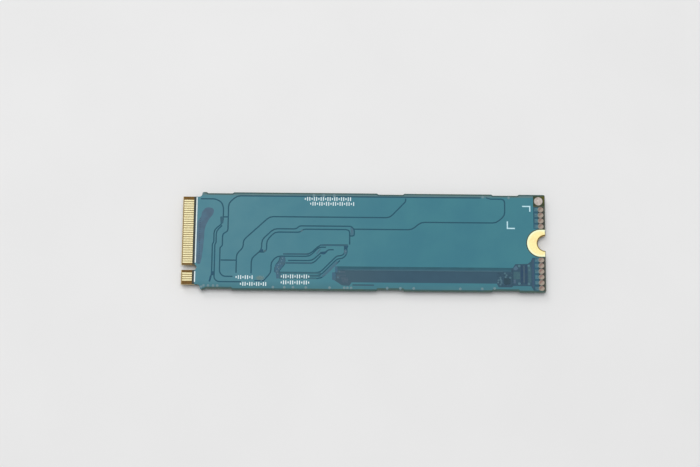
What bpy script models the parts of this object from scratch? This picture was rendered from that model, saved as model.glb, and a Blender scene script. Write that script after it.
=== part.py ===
"""Gumstick solid state drive: a bare 22 x 80 mm card with its chips on one side.

The card lies as it rests on a table, chips down and bare side up. The origin is on the
table under the middle of the card, +X points to the screw notch and +Z points up.
Every length is in metres."""

import math

import bmesh
import bpy
from mathutils import Matrix

MM = 0.001

# Card outline
BOARD_LENGTH = 80.0 * MM
BOARD_WIDTH = 22.0 * MM
BOARD_THICKNESS = 0.8 * MM
BOARD_CORNER_RADIUS = 0.3 * MM
TONGUE_LENGTH = 4.2 * MM
SHOULDER_STEP = 1.075 * MM
TONGUE_CHAMFER_DEPTH = 0.1 * MM
TONGUE_CHAMFER_LENGTH = 0.2 * MM
SHOULDER_FILLET = 0.7 * MM
SCREW_NOTCH_RADIUS = 1.75 * MM
KEY_NOTCH_WIDTH = 1.2 * MM
KEY_NOTCH_DEPTH = 3.35 * MM
KEY_NOTCH_OFFSET = 6.125 * MM

# Shallow recesses that the break-off tabs leave along both long edges
TAB_RECESS_DEPTH = 0.25 * MM
TAB_RECESS_LENGTH = 6.2 * MM
TAB_RECESS_SLANT = 0.35 * MM
TAB_RECESS_FROM_SHOULDER = (4.0 * MM, 41.7 * MM)
TAB_RECESS_FROM_SCREW_END = 8.8 * MM

# Plated edge contacts: a place for each quarter millimetre, taken by the two sides in turn
PIN_STEP = 0.25 * MM
CONTACT_SIDE_MARGIN = 0.6 * MM
KEY_CLEARANCE = 1.0 * MM
CONTACT_WIDTH = 0.35 * MM
CONTACT_LENGTH = 2.15 * MM
CONTACT_FROM_EDGE = 0.25 * MM
PLATING_HEIGHT = 0.035 * MM

# Ground pads round the screw notch
GROUND_PAD_OUTER_RADIUS = 3.05 * MM
GROUND_PAD_INNER_RADIUS = 1.88 * MM
GROUND_PAD_SHANK = 1.0 * MM
GROUND_PAD_EDGE_MARGIN = 0.1 * MM

# Test pads beside the screw notch, and the round alignment mark
TEST_PAD_RADIUS = 0.55 * MM
TEST_PAD_PITCH = 1.28 * MM
TEST_PAD_INSET = 0.9 * MM
TEST_PAD_START = 3.8 * MM
TEST_PAD_MARGIN = 0.15 * MM
ALIGNMENT_MARK_RADIUS = 0.93 * MM
ALIGNMENT_MARK_INSET = 1.45 * MM

# Etched gaps between the copper areas under the mask
GAP_WIDTH = 0.28 * MM
GAP_DEPTH = 0.04 * MM
GAP_CORNER_RADIUS = 0.8 * MM
CORNER_SHARE = 0.4

# Chip side
CHIP_HEIGHT = 1.35 * MM
BALL_STANDOFF = 0.25 * MM
BALL_RADIUS = 0.2 * MM
BALL_SIDES = 6
BALL_EDGE_MARGIN = 0.6 * MM
SOLDER_GAP = 0.02 * MM
PLATING_GAP = 0.01 * MM
COLUMN_SPACING = 0.6 * MM
CARD_EDGE_MARGIN = 0.7 * MM
SHOULDER_MARGIN = 1.2 * MM
CHIP_TO_PAD_SPACING = 0.9 * MM
CHIP_TO_ROW_SPACING = 0.5 * MM
# The lane beside the power parts is this many times as wide as the other lanes between chips.
WIDE_LANE = 2.0
COUPLING_CAPACITORS = 8
PULL_UP_RESISTORS = 6
CAPACITORS_IN_LANE = 4
CAPACITORS_IN_ROW = 5

# Ball grid packages: length along the card and width across it
CONTROLLER = {"length": 12.0 * MM, "width": 12.0 * MM, "pitch": 0.8 * MM}
CACHE_MEMORY = {"length": 7.5 * MM, "width": 13.3 * MM, "pitch": 0.8 * MM}
FLASH_MEMORY = {"length": 12.0 * MM, "width": 18.0 * MM, "pitch": 1.0 * MM}
PIN_ONE_DIMPLE_RADIUS = 0.4 * MM
PIN_ONE_DIMPLE_DEPTH = 0.06 * MM
PIN_ONE_DIMPLE_INSET = 1.0 * MM

# Leadless packages: length, width, height and terminals a side
POWER_CONVERTER = {"size": (4.0 * MM, 4.0 * MM, 0.85 * MM), "terminals": (6, 6)}
FIRMWARE_MEMORY = {"size": (4.0 * MM, 3.0 * MM, 0.75 * MM), "terminals": (0, 4)}
LOAD_SWITCH = {"size": (2.0 * MM, 2.0 * MM, 0.6 * MM), "terminals": (0, 3)}
TEMPERATURE_SENSOR = {"size": (2.0 * MM, 2.0 * MM, 0.6 * MM), "terminals": (0, 4)}
TERMINAL_WIDTH = 0.24 * MM
TERMINAL_LENGTH = 0.4 * MM
TERMINAL_HEIGHT = 0.2 * MM
TERMINAL_PROUD = 0.04 * MM
LEADLESS_TOP_EDGE = 0.06 * MM

# Packages with bent leads: body length along the leads' row, width, height and leads a side
VOLTAGE_REGULATOR = {"body": (1.6 * MM, 2.9 * MM, 1.05 * MM), "leads": (2, 3), "pitch": 0.95 * MM}
SURGE_DIODE = {"body": (1.7 * MM, 1.25 * MM, 0.95 * MM), "leads": (1, 1), "pitch": 0.95 * MM}
LEAD_REACH = 0.6 * MM
LEAD_WIDTH = 0.38 * MM
LEAD_THICKNESS = 0.15 * MM
LEAD_FOOT = 0.3 * MM
BODY_DRAFT = 0.07 * MM
BODY_LIFT = 0.08 * MM

# Inductors and crystal: length, width and height
LARGE_INDUCTOR = (4.0 * MM, 4.0 * MM, 1.2 * MM)
SMALL_INDUCTOR = (2.5 * MM, 2.0 * MM, 1.0 * MM)
INDUCTOR_CORNER = 0.3 * MM
INDUCTOR_TOP_EDGE = 0.12 * MM
INDUCTOR_CLIP_THICKNESS = 0.1 * MM
# How much of the block's width and height its end clips cover
INDUCTOR_CLIP_WIDTH_SHARE = 0.55
INDUCTOR_CLIP_HEIGHT_SHARE = 0.6
CRYSTAL = (3.2 * MM, 2.5 * MM, 0.75 * MM)
CRYSTAL_BASE_HEIGHT = 0.45 * MM
CRYSTAL_LID_INSET = 0.18 * MM
CRYSTAL_CORNER = 0.25 * MM

# Chip capacitors and resistors: length, width, height and end cap length
BULK_CAPACITOR = {"size": (2.0 * MM, 1.25 * MM, 0.95 * MM), "cap": 0.45 * MM}
MEDIUM_CAPACITOR = {"size": (1.6 * MM, 0.8 * MM, 0.8 * MM), "cap": 0.35 * MM}
SMALL_CAPACITOR = {"size": (1.0 * MM, 0.5 * MM, 0.5 * MM), "cap": 0.25 * MM}
SMALL_RESISTOR = {"size": (1.0 * MM, 0.5 * MM, 0.35 * MM), "cap": 0.2 * MM}
END_CAP_STEP = 0.02 * MM

# Etched gaps as points in millimetres. These are measured back from the tongue's shoulder.
SHOULDER_GAPS = (
    ((-0.3, 9.45), (3.0, 9.45), (4.3, 8.7), (4.75, 7.5), (4.75, 4.0), (2.8, 2.4), (2.8, -0.4), (2.5, -0.8),
     (2.5, -7.6), (2.1, -9.3)),
    ((4.55, 3.4), (3.3, 2.15), (3.3, -0.5), (3.05, -0.9), (3.05, -8.6), (3.8, -9.3), (9.0, -9.3)),
    ((61.6, 10.2), (7.7, 10.2), (5.85, 8.5), (5.85, 2.1), (4.7, 1.5), (4.7, -1.2), (4.2, -1.6), (4.2, -7.2),
     (5.0, -8.1), (7.1, -8.1)),
    ((4.75, 5.35), (5.85, 5.35)),
    ((4.4, -4.45), (7.7, -4.45)),
    ((45.0, 9.9), (45.0, 9.2), (41.5, 5.5), (15.0, 5.5), (9.3, 0.1), (9.3, -1.6), (7.85, -3.0), (7.85, -7.3)),
    ((32.7, 1.25), (33.7, 1.25), (33.7, 2.7), (33.0, 3.45), (21.6, 3.45), (20.9, 2.75), (16.0, 2.75),
     (13.35, 0.2), (13.35, -2.1), (11.15, -4.0), (11.15, -7.4)),
    ((32.7, -0.7), (32.7, 2.7), (22.5, 2.7), (21.7, 2.0), (16.2, 2.0), (14.45, 0.1), (14.45, -2.0),
     (14.0, -2.55), (12.85, -2.55)),
    ((13.7, -9.2), (15.5, -7.2), (15.5, -4.8), (16.8, -3.45), (23.9, -3.45), (26.0, -1.35), (27.5, -1.35)),
    ((18.3, -2.9), (24.0, -2.9), (26.2, -0.8), (32.3, -0.8)),
    ((19.2, -4.4), (24.5, -4.4), (26.4, -2.6), (27.3, -2.6), (28.0, -1.9), (29.2, -1.9)),
    ((18.9, -5.0), (24.8, -5.0), (26.4, -3.2)),
    ((17.1, -7.1), (26.2, -7.1), (29.9, -3.3), (31.0, -3.2), (31.6, -2.7), (31.6, -1.3)),
    ((23.8, -7.75), (26.3, -7.75), (30.0, -3.95), (31.2, -3.85), (32.1, -2.9), (32.1, -1.3)),
    ((23.8, -8.4), (26.5, -8.4), (30.6, -4.3)),
    ((17.5, -3.6), (17.3, -4.5), (16.4, -5.6), (16.3, -7.0)),
    ((18.4, -3.6), (18.6, -5.1), (17.3, -6.6), (17.0, -8.2)),
)
# These are measured back from the screw end.
SCREW_END_GAPS = (
    ((12.1, 9.95), (8.9, 9.95), (8.9, 6.2), (10.8, 4.5), (27.4, 4.5), (29.4, 2.8), (42.3, 2.8)),
    ((37.7, -9.8), (42.4, -9.8)),
)
# Sunk fields, measured back from the screw end: two under the data lines, one under their
# fan-out and the lower test pads, one under the upper test pads, one round the alignment mark
SUNK_FIELDS = (
    ((45.9, -5.65), (7.5, -5.65), (7.5, -6.15), (45.9, -6.15)),
    ((46.1, -6.55), (7.5, -6.55), (7.5, -10.0), (10.4, -10.0), (10.8, -9.2), (42.6, -9.2), (43.1, -10.0),
     (44.7, -9.9), (45.4, -9.4), (46.8, -8.5)),
    ((7.3, -5.7), (6.7, -4.8), (4.0, -4.7), (3.3, -4.2), (2.9, -3.3), (0.3, -3.3), (0.3, -10.85), (2.6, -10.85),
     (3.3, -9.7), (7.3, -9.7)),
    ((2.6, 3.25), (0.3, 3.25), (0.3, 8.25), (2.6, 8.25)),
    ((2.6, 8.45), (0.15, 8.45), (0.15, 10.75), (2.6, 10.75)),
)

# Points closer than this are one point, and a fused shape reaches this far into its carrier.
WELD = 0.001 * MM
FUSE_DEPTH = 0.05 * MM

# Places that follow from the sizes above
UNDERSIDE = CHIP_HEIGHT
UPPER_FACE = CHIP_HEIGHT + BOARD_THICKNESS
TONGUE_END_X = -BOARD_LENGTH / 2
SHOULDER_X = TONGUE_END_X + TONGUE_LENGTH
SCREW_END_X = BOARD_LENGTH / 2
BOARD_EDGE_Y = BOARD_WIDTH / 2
TONGUE_EDGE_Y = BOARD_EDGE_Y - SHOULDER_STEP

MATERIALS = {
    "solder_mask": ((0.066, 0.202, 0.254), 0.42, 0.0),
    "gold_plate": ((0.80, 0.62, 0.27), 0.30, 1.0),
    "black_mould": ((0.022, 0.023, 0.025), 0.55, 0.0),
    "grey_ferrite": ((0.09, 0.09, 0.095), 0.65, 0.0),
    "bright_lid": ((0.62, 0.60, 0.55), 0.28, 1.0),
    "tan_ceramic": ((0.33, 0.23, 0.14), 0.50, 0.0),
    "black_ceramic": ((0.03, 0.03, 0.034), 0.45, 0.0),
}


def clear_scene():
    for item in list(bpy.data.objects):
        bpy.data.objects.remove(item, do_unlink=True)


def make_collection(name):
    collection = bpy.data.collections.new(name)
    bpy.context.scene.collection.children.link(collection)
    return collection


def make_materials():
    made = {}
    for name, (colour, roughness, metallic) in MATERIALS.items():
        material = bpy.data.materials.new(name)
        material.use_nodes = True
        shader = material.node_tree.nodes["Principled BSDF"]
        shader.inputs["Base Color"].default_value = (*colour, 1.0)
        shader.inputs["Roughness"].default_value = roughness
        shader.inputs["Metallic"].default_value = metallic
        material.diffuse_color = (*colour, 1.0)
        made[name] = material
    return made


clear_scene()
DRIVE = make_collection("gumstick_solid_state_drive")
CUTTERS = make_collection("cutters_and_fused_shapes")
FINISH = make_materials()


def place_mesh(name, mesh, finish):
    """Links a mesh as a sub-part, or as a hidden tool when it has no finish."""
    part = bpy.data.objects.new(name, mesh)
    if finish:
        mesh.materials.append(FINISH[finish])
        DRIVE.objects.link(part)
    else:
        part.hide_render = True
        part.display_type = "WIRE"
        CUTTERS.objects.link(part)
    return part


def from_bmesh(name, bm, finish=None):
    bmesh.ops.recalc_face_normals(bm, faces=bm.faces)
    mesh = bpy.data.meshes.new(name)
    bm.to_mesh(mesh)
    bm.free()
    return place_mesh(name, mesh, finish)


def arc(centre, radius, start, end, steps):
    """Points on an arc, angles in degrees."""
    turn = [math.radians(start + (end - start) * step / steps) for step in range(steps + 1)]
    return [(centre[0] + radius * math.cos(a), centre[1] + radius * math.sin(a)) for a in turn]


def slab(name, outlines, bottom, top, finish=None):
    """A flat outline, or several that stay apart, as a solid between two heights."""
    curve = bpy.data.curves.new(name, "CURVE")
    curve.dimensions = "2D"
    curve.fill_mode = "BOTH"
    curve.extrude = (top - bottom) / 2
    for outline in outlines:
        spline = curve.splines.new("POLY")
        spline.points.add(len(outline) - 1)
        for point, (x, y) in zip(spline.points, outline):
            point.co = (x, y, 0.0, 1.0)
        spline.use_cyclic_u = True
    guide = bpy.data.objects.new(name, curve)
    guide.location.z = (bottom + top) / 2
    bpy.context.scene.collection.objects.link(guide)
    bpy.context.view_layer.update()
    evaluated = guide.evaluated_get(bpy.context.evaluated_depsgraph_get())
    mesh = bpy.data.meshes.new_from_object(evaluated)
    mesh.transform(guide.matrix_world)
    bpy.data.objects.remove(guide, do_unlink=True)
    mesh.materials.clear()
    bm = bmesh.new()
    bm.from_mesh(mesh)
    bpy.data.meshes.remove(mesh)
    bmesh.ops.remove_doubles(bm, verts=bm.verts, dist=WELD)
    return from_bmesh(name, bm, finish)


def ribbon(points, width):
    """The outline of a strip of one width along a line of points, with mitred corners."""
    sides = ([], [])
    for index, (x, y) in enumerate(points):
        normals = []
        for first, second in ((index - 1, index), (index, index + 1)):
            if 0 <= first and second < len(points):
                along = (points[second][0] - points[first][0], points[second][1] - points[first][1])
                length = math.hypot(*along)
                normals.append((-along[1] / length, along[0] / length))
        middle = (sum(n[0] for n in normals), sum(n[1] for n in normals))
        # The mitre reaches further out the more the line turns.
        reach = width / (middle[0] * normals[0][0] + middle[1] * normals[0][1]) / 2
        for side, sign in zip(sides, (1, -1)):
            side.append((x + sign * middle[0] * reach, y + sign * middle[1] * reach))
    return sides[0] + sides[1][::-1]


def rounded(points, radius, steps=2):
    """The same line with each corner replaced by a short curve that touches both sides."""
    line = [points[0]]
    for before, corner, after in zip(points, points[1:], points[2:]):
        # Two corners share the stretch between them, so each curve takes less than half of it.
        reach = min(radius, CORNER_SHARE * math.dist(before, corner), CORNER_SHARE * math.dist(corner, after))
        start = [c + (b - c) * reach / math.dist(before, corner) for b, c in zip(before, corner)]
        end = [c + (a - c) * reach / math.dist(after, corner) for a, c in zip(after, corner)]
        for step in range(steps + 1):
            t = step / steps
            line.append(tuple((1 - t) ** 2 * s + 2 * t * (1 - t) * c + t * t * e
                              for s, c, e in zip(start, corner, end)))
    return line + [points[-1]]


def rectangle(length, width, corner=0.0, steps=2):
    """Corner points of a rectangle about the origin, rounded where a corner radius is given."""
    points = []
    for index, (sx, sy) in enumerate(((1, 1), (-1, 1), (-1, -1), (1, -1))):
        centre = (sx * (length / 2 - corner), sy * (width / 2 - corner))
        points += arc(centre, corner, 90 * index, 90 * index + 90, steps) if corner else [centre]
    return points


def stacked(sections):
    """One body that rises through its sections, each a height and the outline there."""
    bm = bmesh.new()
    height, outline = sections[0]
    face = bm.faces.new([bm.verts.new((x, y, height)) for x, y in outline])
    for step, (height, outline) in enumerate(sections[1:]):
        grown = bmesh.ops.extrude_face_region(bm, geom=[face])["geom"]
        if step:
            bmesh.ops.delete(bm, geom=[face], context="FACES_ONLY")
        face = next(item for item in grown if isinstance(item, bmesh.types.BMFace))
        for vert, (x, y) in zip(face.verts, outline):
            vert.co = (x, y, height)
    return bm


def boxes(name, corners):
    """Several boxes that stay apart, each from its lowest and highest corner."""
    bm = bmesh.new()
    for low, high in corners:
        size = Matrix.Diagonal([high[i] - low[i] for i in range(3)] + [1.0])
        middle = Matrix.Translation([(high[i] + low[i]) / 2 for i in range(3)])
        bmesh.ops.create_cube(bm, size=1.0, matrix=middle @ size)
    return from_bmesh(name, bm)


def rods(name, places, radius, bottom, top, sides):
    """Several upright round rods that stay apart."""
    bm = bmesh.new()
    for x, y in places:
        bmesh.ops.create_cone(bm, cap_ends=True, segments=sides, radius1=radius, radius2=radius,
                              depth=top - bottom, matrix=Matrix.Translation((x, y, (bottom + top) / 2)))
    return from_bmesh(name, bm)


def boolean(part, tool, operation):
    modifier = part.modifiers.new(tool.name, "BOOLEAN")
    modifier.object = tool
    modifier.operation = operation
    modifier.solver = "EXACT"


def mount_under_card(part, x, y, turn=0.0, tools=()):
    """Turns a part modelled on its back over, and sets it against the chip side of the card."""
    for item in (part, *tools):
        item.rotation_euler = (math.pi, 0.0, turn)
        item.location = (x, y, UNDERSIDE - SOLDER_GAP)


def half_outline():
    """The card's edge from the middle of the tongue end round to the middle of the screw end."""
    shoulder_centre = (SHOULDER_X - SHOULDER_FILLET, TONGUE_EDGE_Y + SHOULDER_FILLET)
    corner_y = BOARD_EDGE_Y - BOARD_CORNER_RADIUS
    points = [(TONGUE_END_X, 0.0), (TONGUE_END_X, TONGUE_EDGE_Y)]
    points += arc(shoulder_centre, SHOULDER_FILLET, 270, 360, 6)
    points += arc((SHOULDER_X + BOARD_CORNER_RADIUS, corner_y), BOARD_CORNER_RADIUS, 180, 90, 3)
    points += arc((SCREW_END_X - BOARD_CORNER_RADIUS, corner_y), BOARD_CORNER_RADIUS, 90, 0, 3)
    return points


def tab_recess_outlines():
    """A shallow recess with slanted ends at each break-off tab, alike on both long edges."""
    middles = [SHOULDER_X + place for place in TAB_RECESS_FROM_SHOULDER]
    middles.append(SCREW_END_X - TAB_RECESS_FROM_SCREW_END)
    half, slant = TAB_RECESS_LENGTH / 2, TAB_RECESS_SLANT
    # The slants run on past the card's edge at the same slope.
    floor, mouth = BOARD_EDGE_Y - TAB_RECESS_DEPTH, BOARD_EDGE_Y + TAB_RECESS_DEPTH
    for middle in middles:
        for sign in (-1, 1):
            yield [(middle - half - slant, sign * mouth), (middle - half + slant, sign * floor),
                   (middle + half - slant, sign * floor), (middle + half + slant, sign * mouth)]


def contact_boxes():
    """As many plated contacts as fit across the tongue, with none beside the key notch."""
    start = TONGUE_END_X + CONTACT_FROM_EDGE
    outermost = int((TONGUE_EDGE_Y - CONTACT_SIDE_MARGIN) / PIN_STEP)
    for place in range(-outermost, outermost + 1):
        y = place * PIN_STEP
        if abs(y + KEY_NOTCH_OFFSET) < KEY_CLEARANCE:
            continue
        face, outward = (UNDERSIDE, -1) if place % 2 else (UPPER_FACE, 1)
        heights = sorted((face - outward * FUSE_DEPTH, face + outward * PLATING_HEIGHT))
        yield ((start, y - CONTACT_WIDTH / 2, heights[0]),
               (start + CONTACT_LENGTH, y + CONTACT_WIDTH / 2, heights[1]))


def test_pad_places():
    """A column of round pads each side of the screw notch, out to the mark and to the card's edge."""
    mark_y = BOARD_EDGE_Y - ALIGNMENT_MARK_INSET - ALIGNMENT_MARK_RADIUS
    places = []
    for sign, limit in ((1, mark_y), (-1, BOARD_EDGE_Y)):
        room = limit - TEST_PAD_MARGIN - TEST_PAD_RADIUS - TEST_PAD_START
        for step in range(int(room / TEST_PAD_PITCH) + 1):
            places.append((SCREW_END_X - TEST_PAD_INSET, sign * (TEST_PAD_START + TEST_PAD_PITCH * step)))
    return places


def screw_end_outline(points):
    return [(SCREW_END_X - x * MM, y * MM) for x, y in points]


def make_board():
    half = half_outline()
    outline = half + [(x, -y) for x, y in reversed(half[1:])]
    board = slab("printed_circuit_board", [outline], UNDERSIDE, UPPER_FACE, "solder_mask")

    deep = BOARD_THICKNESS
    recesses = slab("tab_recess_cutter", tab_recess_outlines(), UNDERSIDE - deep, UPPER_FACE + deep)
    boolean(board, recesses, "DIFFERENCE")
    notch = arc((SCREW_END_X, 0.0), SCREW_NOTCH_RADIUS, 85, 275, 21)
    notch += [(SCREW_END_X + deep, notch[-1][1]), (SCREW_END_X + deep, notch[0][1])]
    boolean(board, slab("screw_notch_cutter", [notch], UNDERSIDE - deep, UPPER_FACE + deep), "DIFFERENCE")

    half_key = KEY_NOTCH_WIDTH / 2
    key_end = TONGUE_END_X + KEY_NOTCH_DEPTH - half_key
    key = [(TONGUE_END_X - deep, -KEY_NOTCH_OFFSET - half_key)]
    key += arc((key_end, -KEY_NOTCH_OFFSET), half_key, -90, 90, 10)
    key.append((TONGUE_END_X - deep, -KEY_NOTCH_OFFSET + half_key))
    boolean(board, slab("key_notch_cutter", [key], UNDERSIDE - deep, UPPER_FACE + deep), "DIFFERENCE")

    for side, face, outward in (("upper", UPPER_FACE, 1), ("lower", UNDERSIDE, -1)):
        bm = bmesh.new()
        end, run = TONGUE_END_X, TONGUE_CHAMFER_LENGTH
        profile = ((end - run, face - outward * TONGUE_CHAMFER_DEPTH * 2), (end + run, face),
                   (end + run, face + outward * deep), (end - run, face + outward * deep))
        face_of_wedge = bm.faces.new([bm.verts.new((x, -BOARD_WIDTH, z)) for x, z in profile])
        wedge = bmesh.ops.extrude_face_region(bm, geom=[face_of_wedge])["geom"]
        bmesh.ops.translate(bm, verts=[v for v in wedge if isinstance(v, bmesh.types.BMVert)],
                            vec=(0.0, BOARD_WIDTH * 2, 0.0))
        boolean(board, from_bmesh(f"{side}_chamfer_cutter", bm), "DIFFERENCE")

    routes = [[(SHOULDER_X + x * MM, y * MM) for x, y in gap] for gap in SHOULDER_GAPS]
    routes += [screw_end_outline(gap) for gap in SCREW_END_GAPS]
    for number, route in enumerate(routes):
        strip = ribbon(rounded(route, GAP_CORNER_RADIUS), GAP_WIDTH)
        cutter = slab(f"etched_gap_{number}", [strip], UPPER_FACE - GAP_DEPTH, UPPER_FACE + deep)
        boolean(board, cutter, "DIFFERENCE")
    fields = [screw_end_outline(field) for field in SUNK_FIELDS]
    boolean(board, slab("sunk_fields", fields, UPPER_FACE - GAP_DEPTH, UPPER_FACE + deep), "DIFFERENCE")

    boolean(board, boxes("edge_contacts", contact_boxes()), "UNION")
    plated = rods("test_pads", test_pad_places(), TEST_PAD_RADIUS, UPPER_FACE - FUSE_DEPTH,
                  UPPER_FACE + PLATING_HEIGHT, 14)
    boolean(board, plated, "UNION")
    mark = rods("alignment_mark", [(SCREW_END_X - ALIGNMENT_MARK_INSET, BOARD_EDGE_Y - ALIGNMENT_MARK_INSET)],
                ALIGNMENT_MARK_RADIUS, UPPER_FACE - FUSE_DEPTH, UPPER_FACE + PLATING_HEIGHT, 20)
    boolean(board, mark, "UNION")


def make_ground_pads():
    """A plated horseshoe round the screw notch on each side of the card."""
    end = SCREW_END_X - GROUND_PAD_EDGE_MARGIN
    opening = math.degrees(math.acos(GROUND_PAD_EDGE_MARGIN / GROUND_PAD_INNER_RADIUS))
    outline = [(end, GROUND_PAD_OUTER_RADIUS)]
    outline += arc((SCREW_END_X - GROUND_PAD_SHANK, 0.0), GROUND_PAD_OUTER_RADIUS, 90, 270, 24)
    outline.append((end, -GROUND_PAD_OUTER_RADIUS))
    outline += arc((SCREW_END_X, 0.0), GROUND_PAD_INNER_RADIUS, 180 + opening, 180 - opening, 20)
    upper = UPPER_FACE + PLATING_GAP
    lower = UNDERSIDE - PLATING_GAP
    slab("screw_ground_pad_upper", [outline], upper, upper + PLATING_HEIGHT, "gold_plate")
    slab("screw_ground_pad_lower", [outline], lower - PLATING_HEIGHT, lower, "gold_plate")


def ball_places(length, width, pitch):
    """The outermost ring of the ball grid, which is all that shows past the package's edge."""
    columns, rows = (int((size - 2 * BALL_EDGE_MARGIN) / pitch) + 1 for size in (length, width))
    for column in range(columns):
        for row in range(rows):
            if column in (0, columns - 1) or row in (0, rows - 1):
                yield ((column - (columns - 1) / 2) * pitch, (row - (rows - 1) / 2) * pitch)


def make_ball_grid_package(name, package, x):
    """A moulded package on solder balls, with its outer face on the table."""
    length, width = package["length"], package["width"]
    outer = CHIP_HEIGHT - SOLDER_GAP
    footprint = rectangle(length, width)
    body = from_bmesh(name, stacked([(BALL_STANDOFF, footprint), (outer, footprint)]), "black_mould")
    balls = rods(f"{name}_balls", ball_places(length, width, package["pitch"]), BALL_RADIUS,
                 0.0, BALL_STANDOFF + FUSE_DEPTH, BALL_SIDES)
    boolean(body, balls, "UNION")
    corner = (PIN_ONE_DIMPLE_INSET - length / 2, width / 2 - PIN_ONE_DIMPLE_INSET)
    dimple = rods(f"{name}_dimple", [corner], PIN_ONE_DIMPLE_RADIUS, outer - PIN_ONE_DIMPLE_DEPTH,
                  outer + PIN_ONE_DIMPLE_DEPTH, 12)
    boolean(body, dimple, "DIFFERENCE")
    mount_under_card(body, x, 0.0, tools=(balls, dimple))


def terminal_boxes(length, width, along, across):
    """Flush terminals along the package's edges, as many a side as its two numbers say."""
    reach, inner = TERMINAL_PROUD, TERMINAL_LENGTH
    for count, half, side, swap in ((across, length / 2, width, False), (along, width / 2, length, True)):
        for index in range(count):
            place = (index - (count - 1) / 2) * side / (count + 1)
            for sign in (-1, 1):
                far, near = sorted((sign * (half + reach), sign * (half - inner)))
                low, high = (far, place - TERMINAL_WIDTH / 2), (near, place + TERMINAL_WIDTH / 2)
                if swap:
                    low, high = low[::-1], high[::-1]
                yield (*low, 0.0), (*high, TERMINAL_HEIGHT)


def make_leadless_package(name, package, x, y):
    length, width, height = package["size"]
    lift = TERMINAL_PROUD
    footprint = rectangle(length, width)
    crown = rectangle(length - 2 * LEADLESS_TOP_EDGE, width - 2 * LEADLESS_TOP_EDGE)
    sections = [(lift, footprint), (height - LEADLESS_TOP_EDGE, footprint), (height, crown)]
    body = from_bmesh(name, stacked(sections), "black_mould")
    terminals = boxes(f"{name}_terminals", terminal_boxes(length, width, *package["terminals"]))
    boolean(body, terminals, "UNION")
    mount_under_card(body, x, y, tools=(terminals,))


def make_leaded_package(name, package, x, y, turn=0.0):
    """A drafted body with bent leads, which leave its sides at half height and stand on the card."""
    length, width, height = package["body"]
    middle = (height + BODY_LIFT) / 2
    waist = rectangle(length, width)
    ends = rectangle(length - 2 * BODY_DRAFT, width - 2 * BODY_DRAFT)
    body = from_bmesh(name, stacked([(BODY_LIFT, ends), (middle, waist), (height, ends)]), "black_mould")
    reach = length / 2 + LEAD_REACH
    bend = reach - LEAD_FOOT
    foot = LEAD_THICKNESS / 2
    line = [(0.0, middle), (bend, middle), (bend + LEAD_THICKNESS, foot), (reach, foot)]
    profile = ribbon(rounded(line, LEAD_THICKNESS), LEAD_THICKNESS)
    bm = bmesh.new()
    for sign, count in zip((-1, 1), package["leads"]):
        for index in range(count):
            spread = package["pitch"] * (max(package["leads"]) - 1)
            place = (index / (count - 1) - 0.5) * spread if count > 1 else 0.0
            first = place - LEAD_WIDTH / 2
            face = bm.faces.new([bm.verts.new((sign * px, first, pz)) for px, pz in profile])
            grown = bmesh.ops.extrude_face_region(bm, geom=[face])["geom"]
            moved = [item for item in grown if isinstance(item, bmesh.types.BMVert)]
            bmesh.ops.translate(bm, verts=moved, vec=(0.0, LEAD_WIDTH, 0.0))
    leads = from_bmesh(f"{name}_leads", bm)
    boolean(body, leads, "UNION")
    mount_under_card(body, x, y, turn, tools=(leads,))


def make_inductor(name, size, x, y):
    """A pressed ferrite block with rounded corners and a metal clip at each end."""
    length, width, height = size
    clip = INDUCTOR_CLIP_THICKNESS
    footprint = rectangle(length - 2 * clip, width, INDUCTOR_CORNER)
    edge = INDUCTOR_TOP_EDGE
    crown = rectangle(length - 2 * clip - 2 * edge, width - 2 * edge, INDUCTOR_CORNER)
    sections = [(clip, footprint), (height - edge, footprint), (height, crown)]
    body = from_bmesh(name, stacked(sections), "grey_ferrite")
    half_clip = width * INDUCTOR_CLIP_WIDTH_SHARE / 2
    corners = []
    for sign in (-1, 1):
        outer, inner = sorted((sign * length / 2, sign * (length / 2 - 2 * clip)))
        corners.append(((outer, -half_clip, 0.0), (inner, half_clip, height * INDUCTOR_CLIP_HEIGHT_SHARE)))
    clips = boxes(f"{name}_clips", corners)
    feet = []
    for sign in (-1, 1):
        outer, inner = sorted((sign * (length / 2 - clip), sign * length / 4))
        feet.append(((outer, -half_clip, 0.0), (inner, half_clip, 2 * clip)))
    soles = boxes(f"{name}_soles", feet)
    boolean(body, clips, "UNION")
    boolean(body, soles, "UNION")
    mount_under_card(body, x, y, tools=(clips, soles))


def make_crystal(name, size, x, y):
    """A ceramic tray with a stepped metal lid."""
    length, width, height = size
    lid = (length - 2 * CRYSTAL_LID_INSET, width - 2 * CRYSTAL_LID_INSET)
    tray = rectangle(length, width, CRYSTAL_CORNER)
    cover = rectangle(*lid, CRYSTAL_CORNER)
    sections = [(0.0, tray), (CRYSTAL_BASE_HEIGHT, tray), (CRYSTAL_BASE_HEIGHT, cover), (height, cover)]
    mount_under_card(from_bmesh(name, stacked(sections), "bright_lid"), x, y)


def make_chip_part(name, chip, finish, x, y, across=False):
    """A ceramic block whose two end caps stand slightly proud of it."""
    length, width, height = chip["size"]
    cap = chip["cap"]
    proud = rectangle(height, width)
    waist = rectangle(height - 2 * END_CAP_STEP, width - 2 * END_CAP_STEP)
    half = length / 2
    bm = stacked([(-half, proud), (cap - half, proud), (cap - half, waist), (half - cap, waist),
                  (half - cap, proud), (half, proud)])
    # The block is stacked upright, so it is laid along X and lifted onto its side.
    bmesh.ops.rotate(bm, verts=bm.verts, matrix=Matrix.Rotation(math.pi / 2, 3, "Y"))
    bmesh.ops.translate(bm, verts=bm.verts, vec=(0.0, 0.0, height / 2))
    mount_under_card(from_bmesh(name, bm, finish), x, y, math.pi / 2 if across else 0.0)


def spread(sizes, room):
    """Centres of parts in a line, from one end of the room to the other with even spacing."""
    spacing = (room - sum(sizes)) / (len(sizes) - 1)
    centres, edge = [], -room / 2
    for size in sizes:
        centres.append(edge + size / 2)
        edge += size + spacing
    return centres


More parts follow.
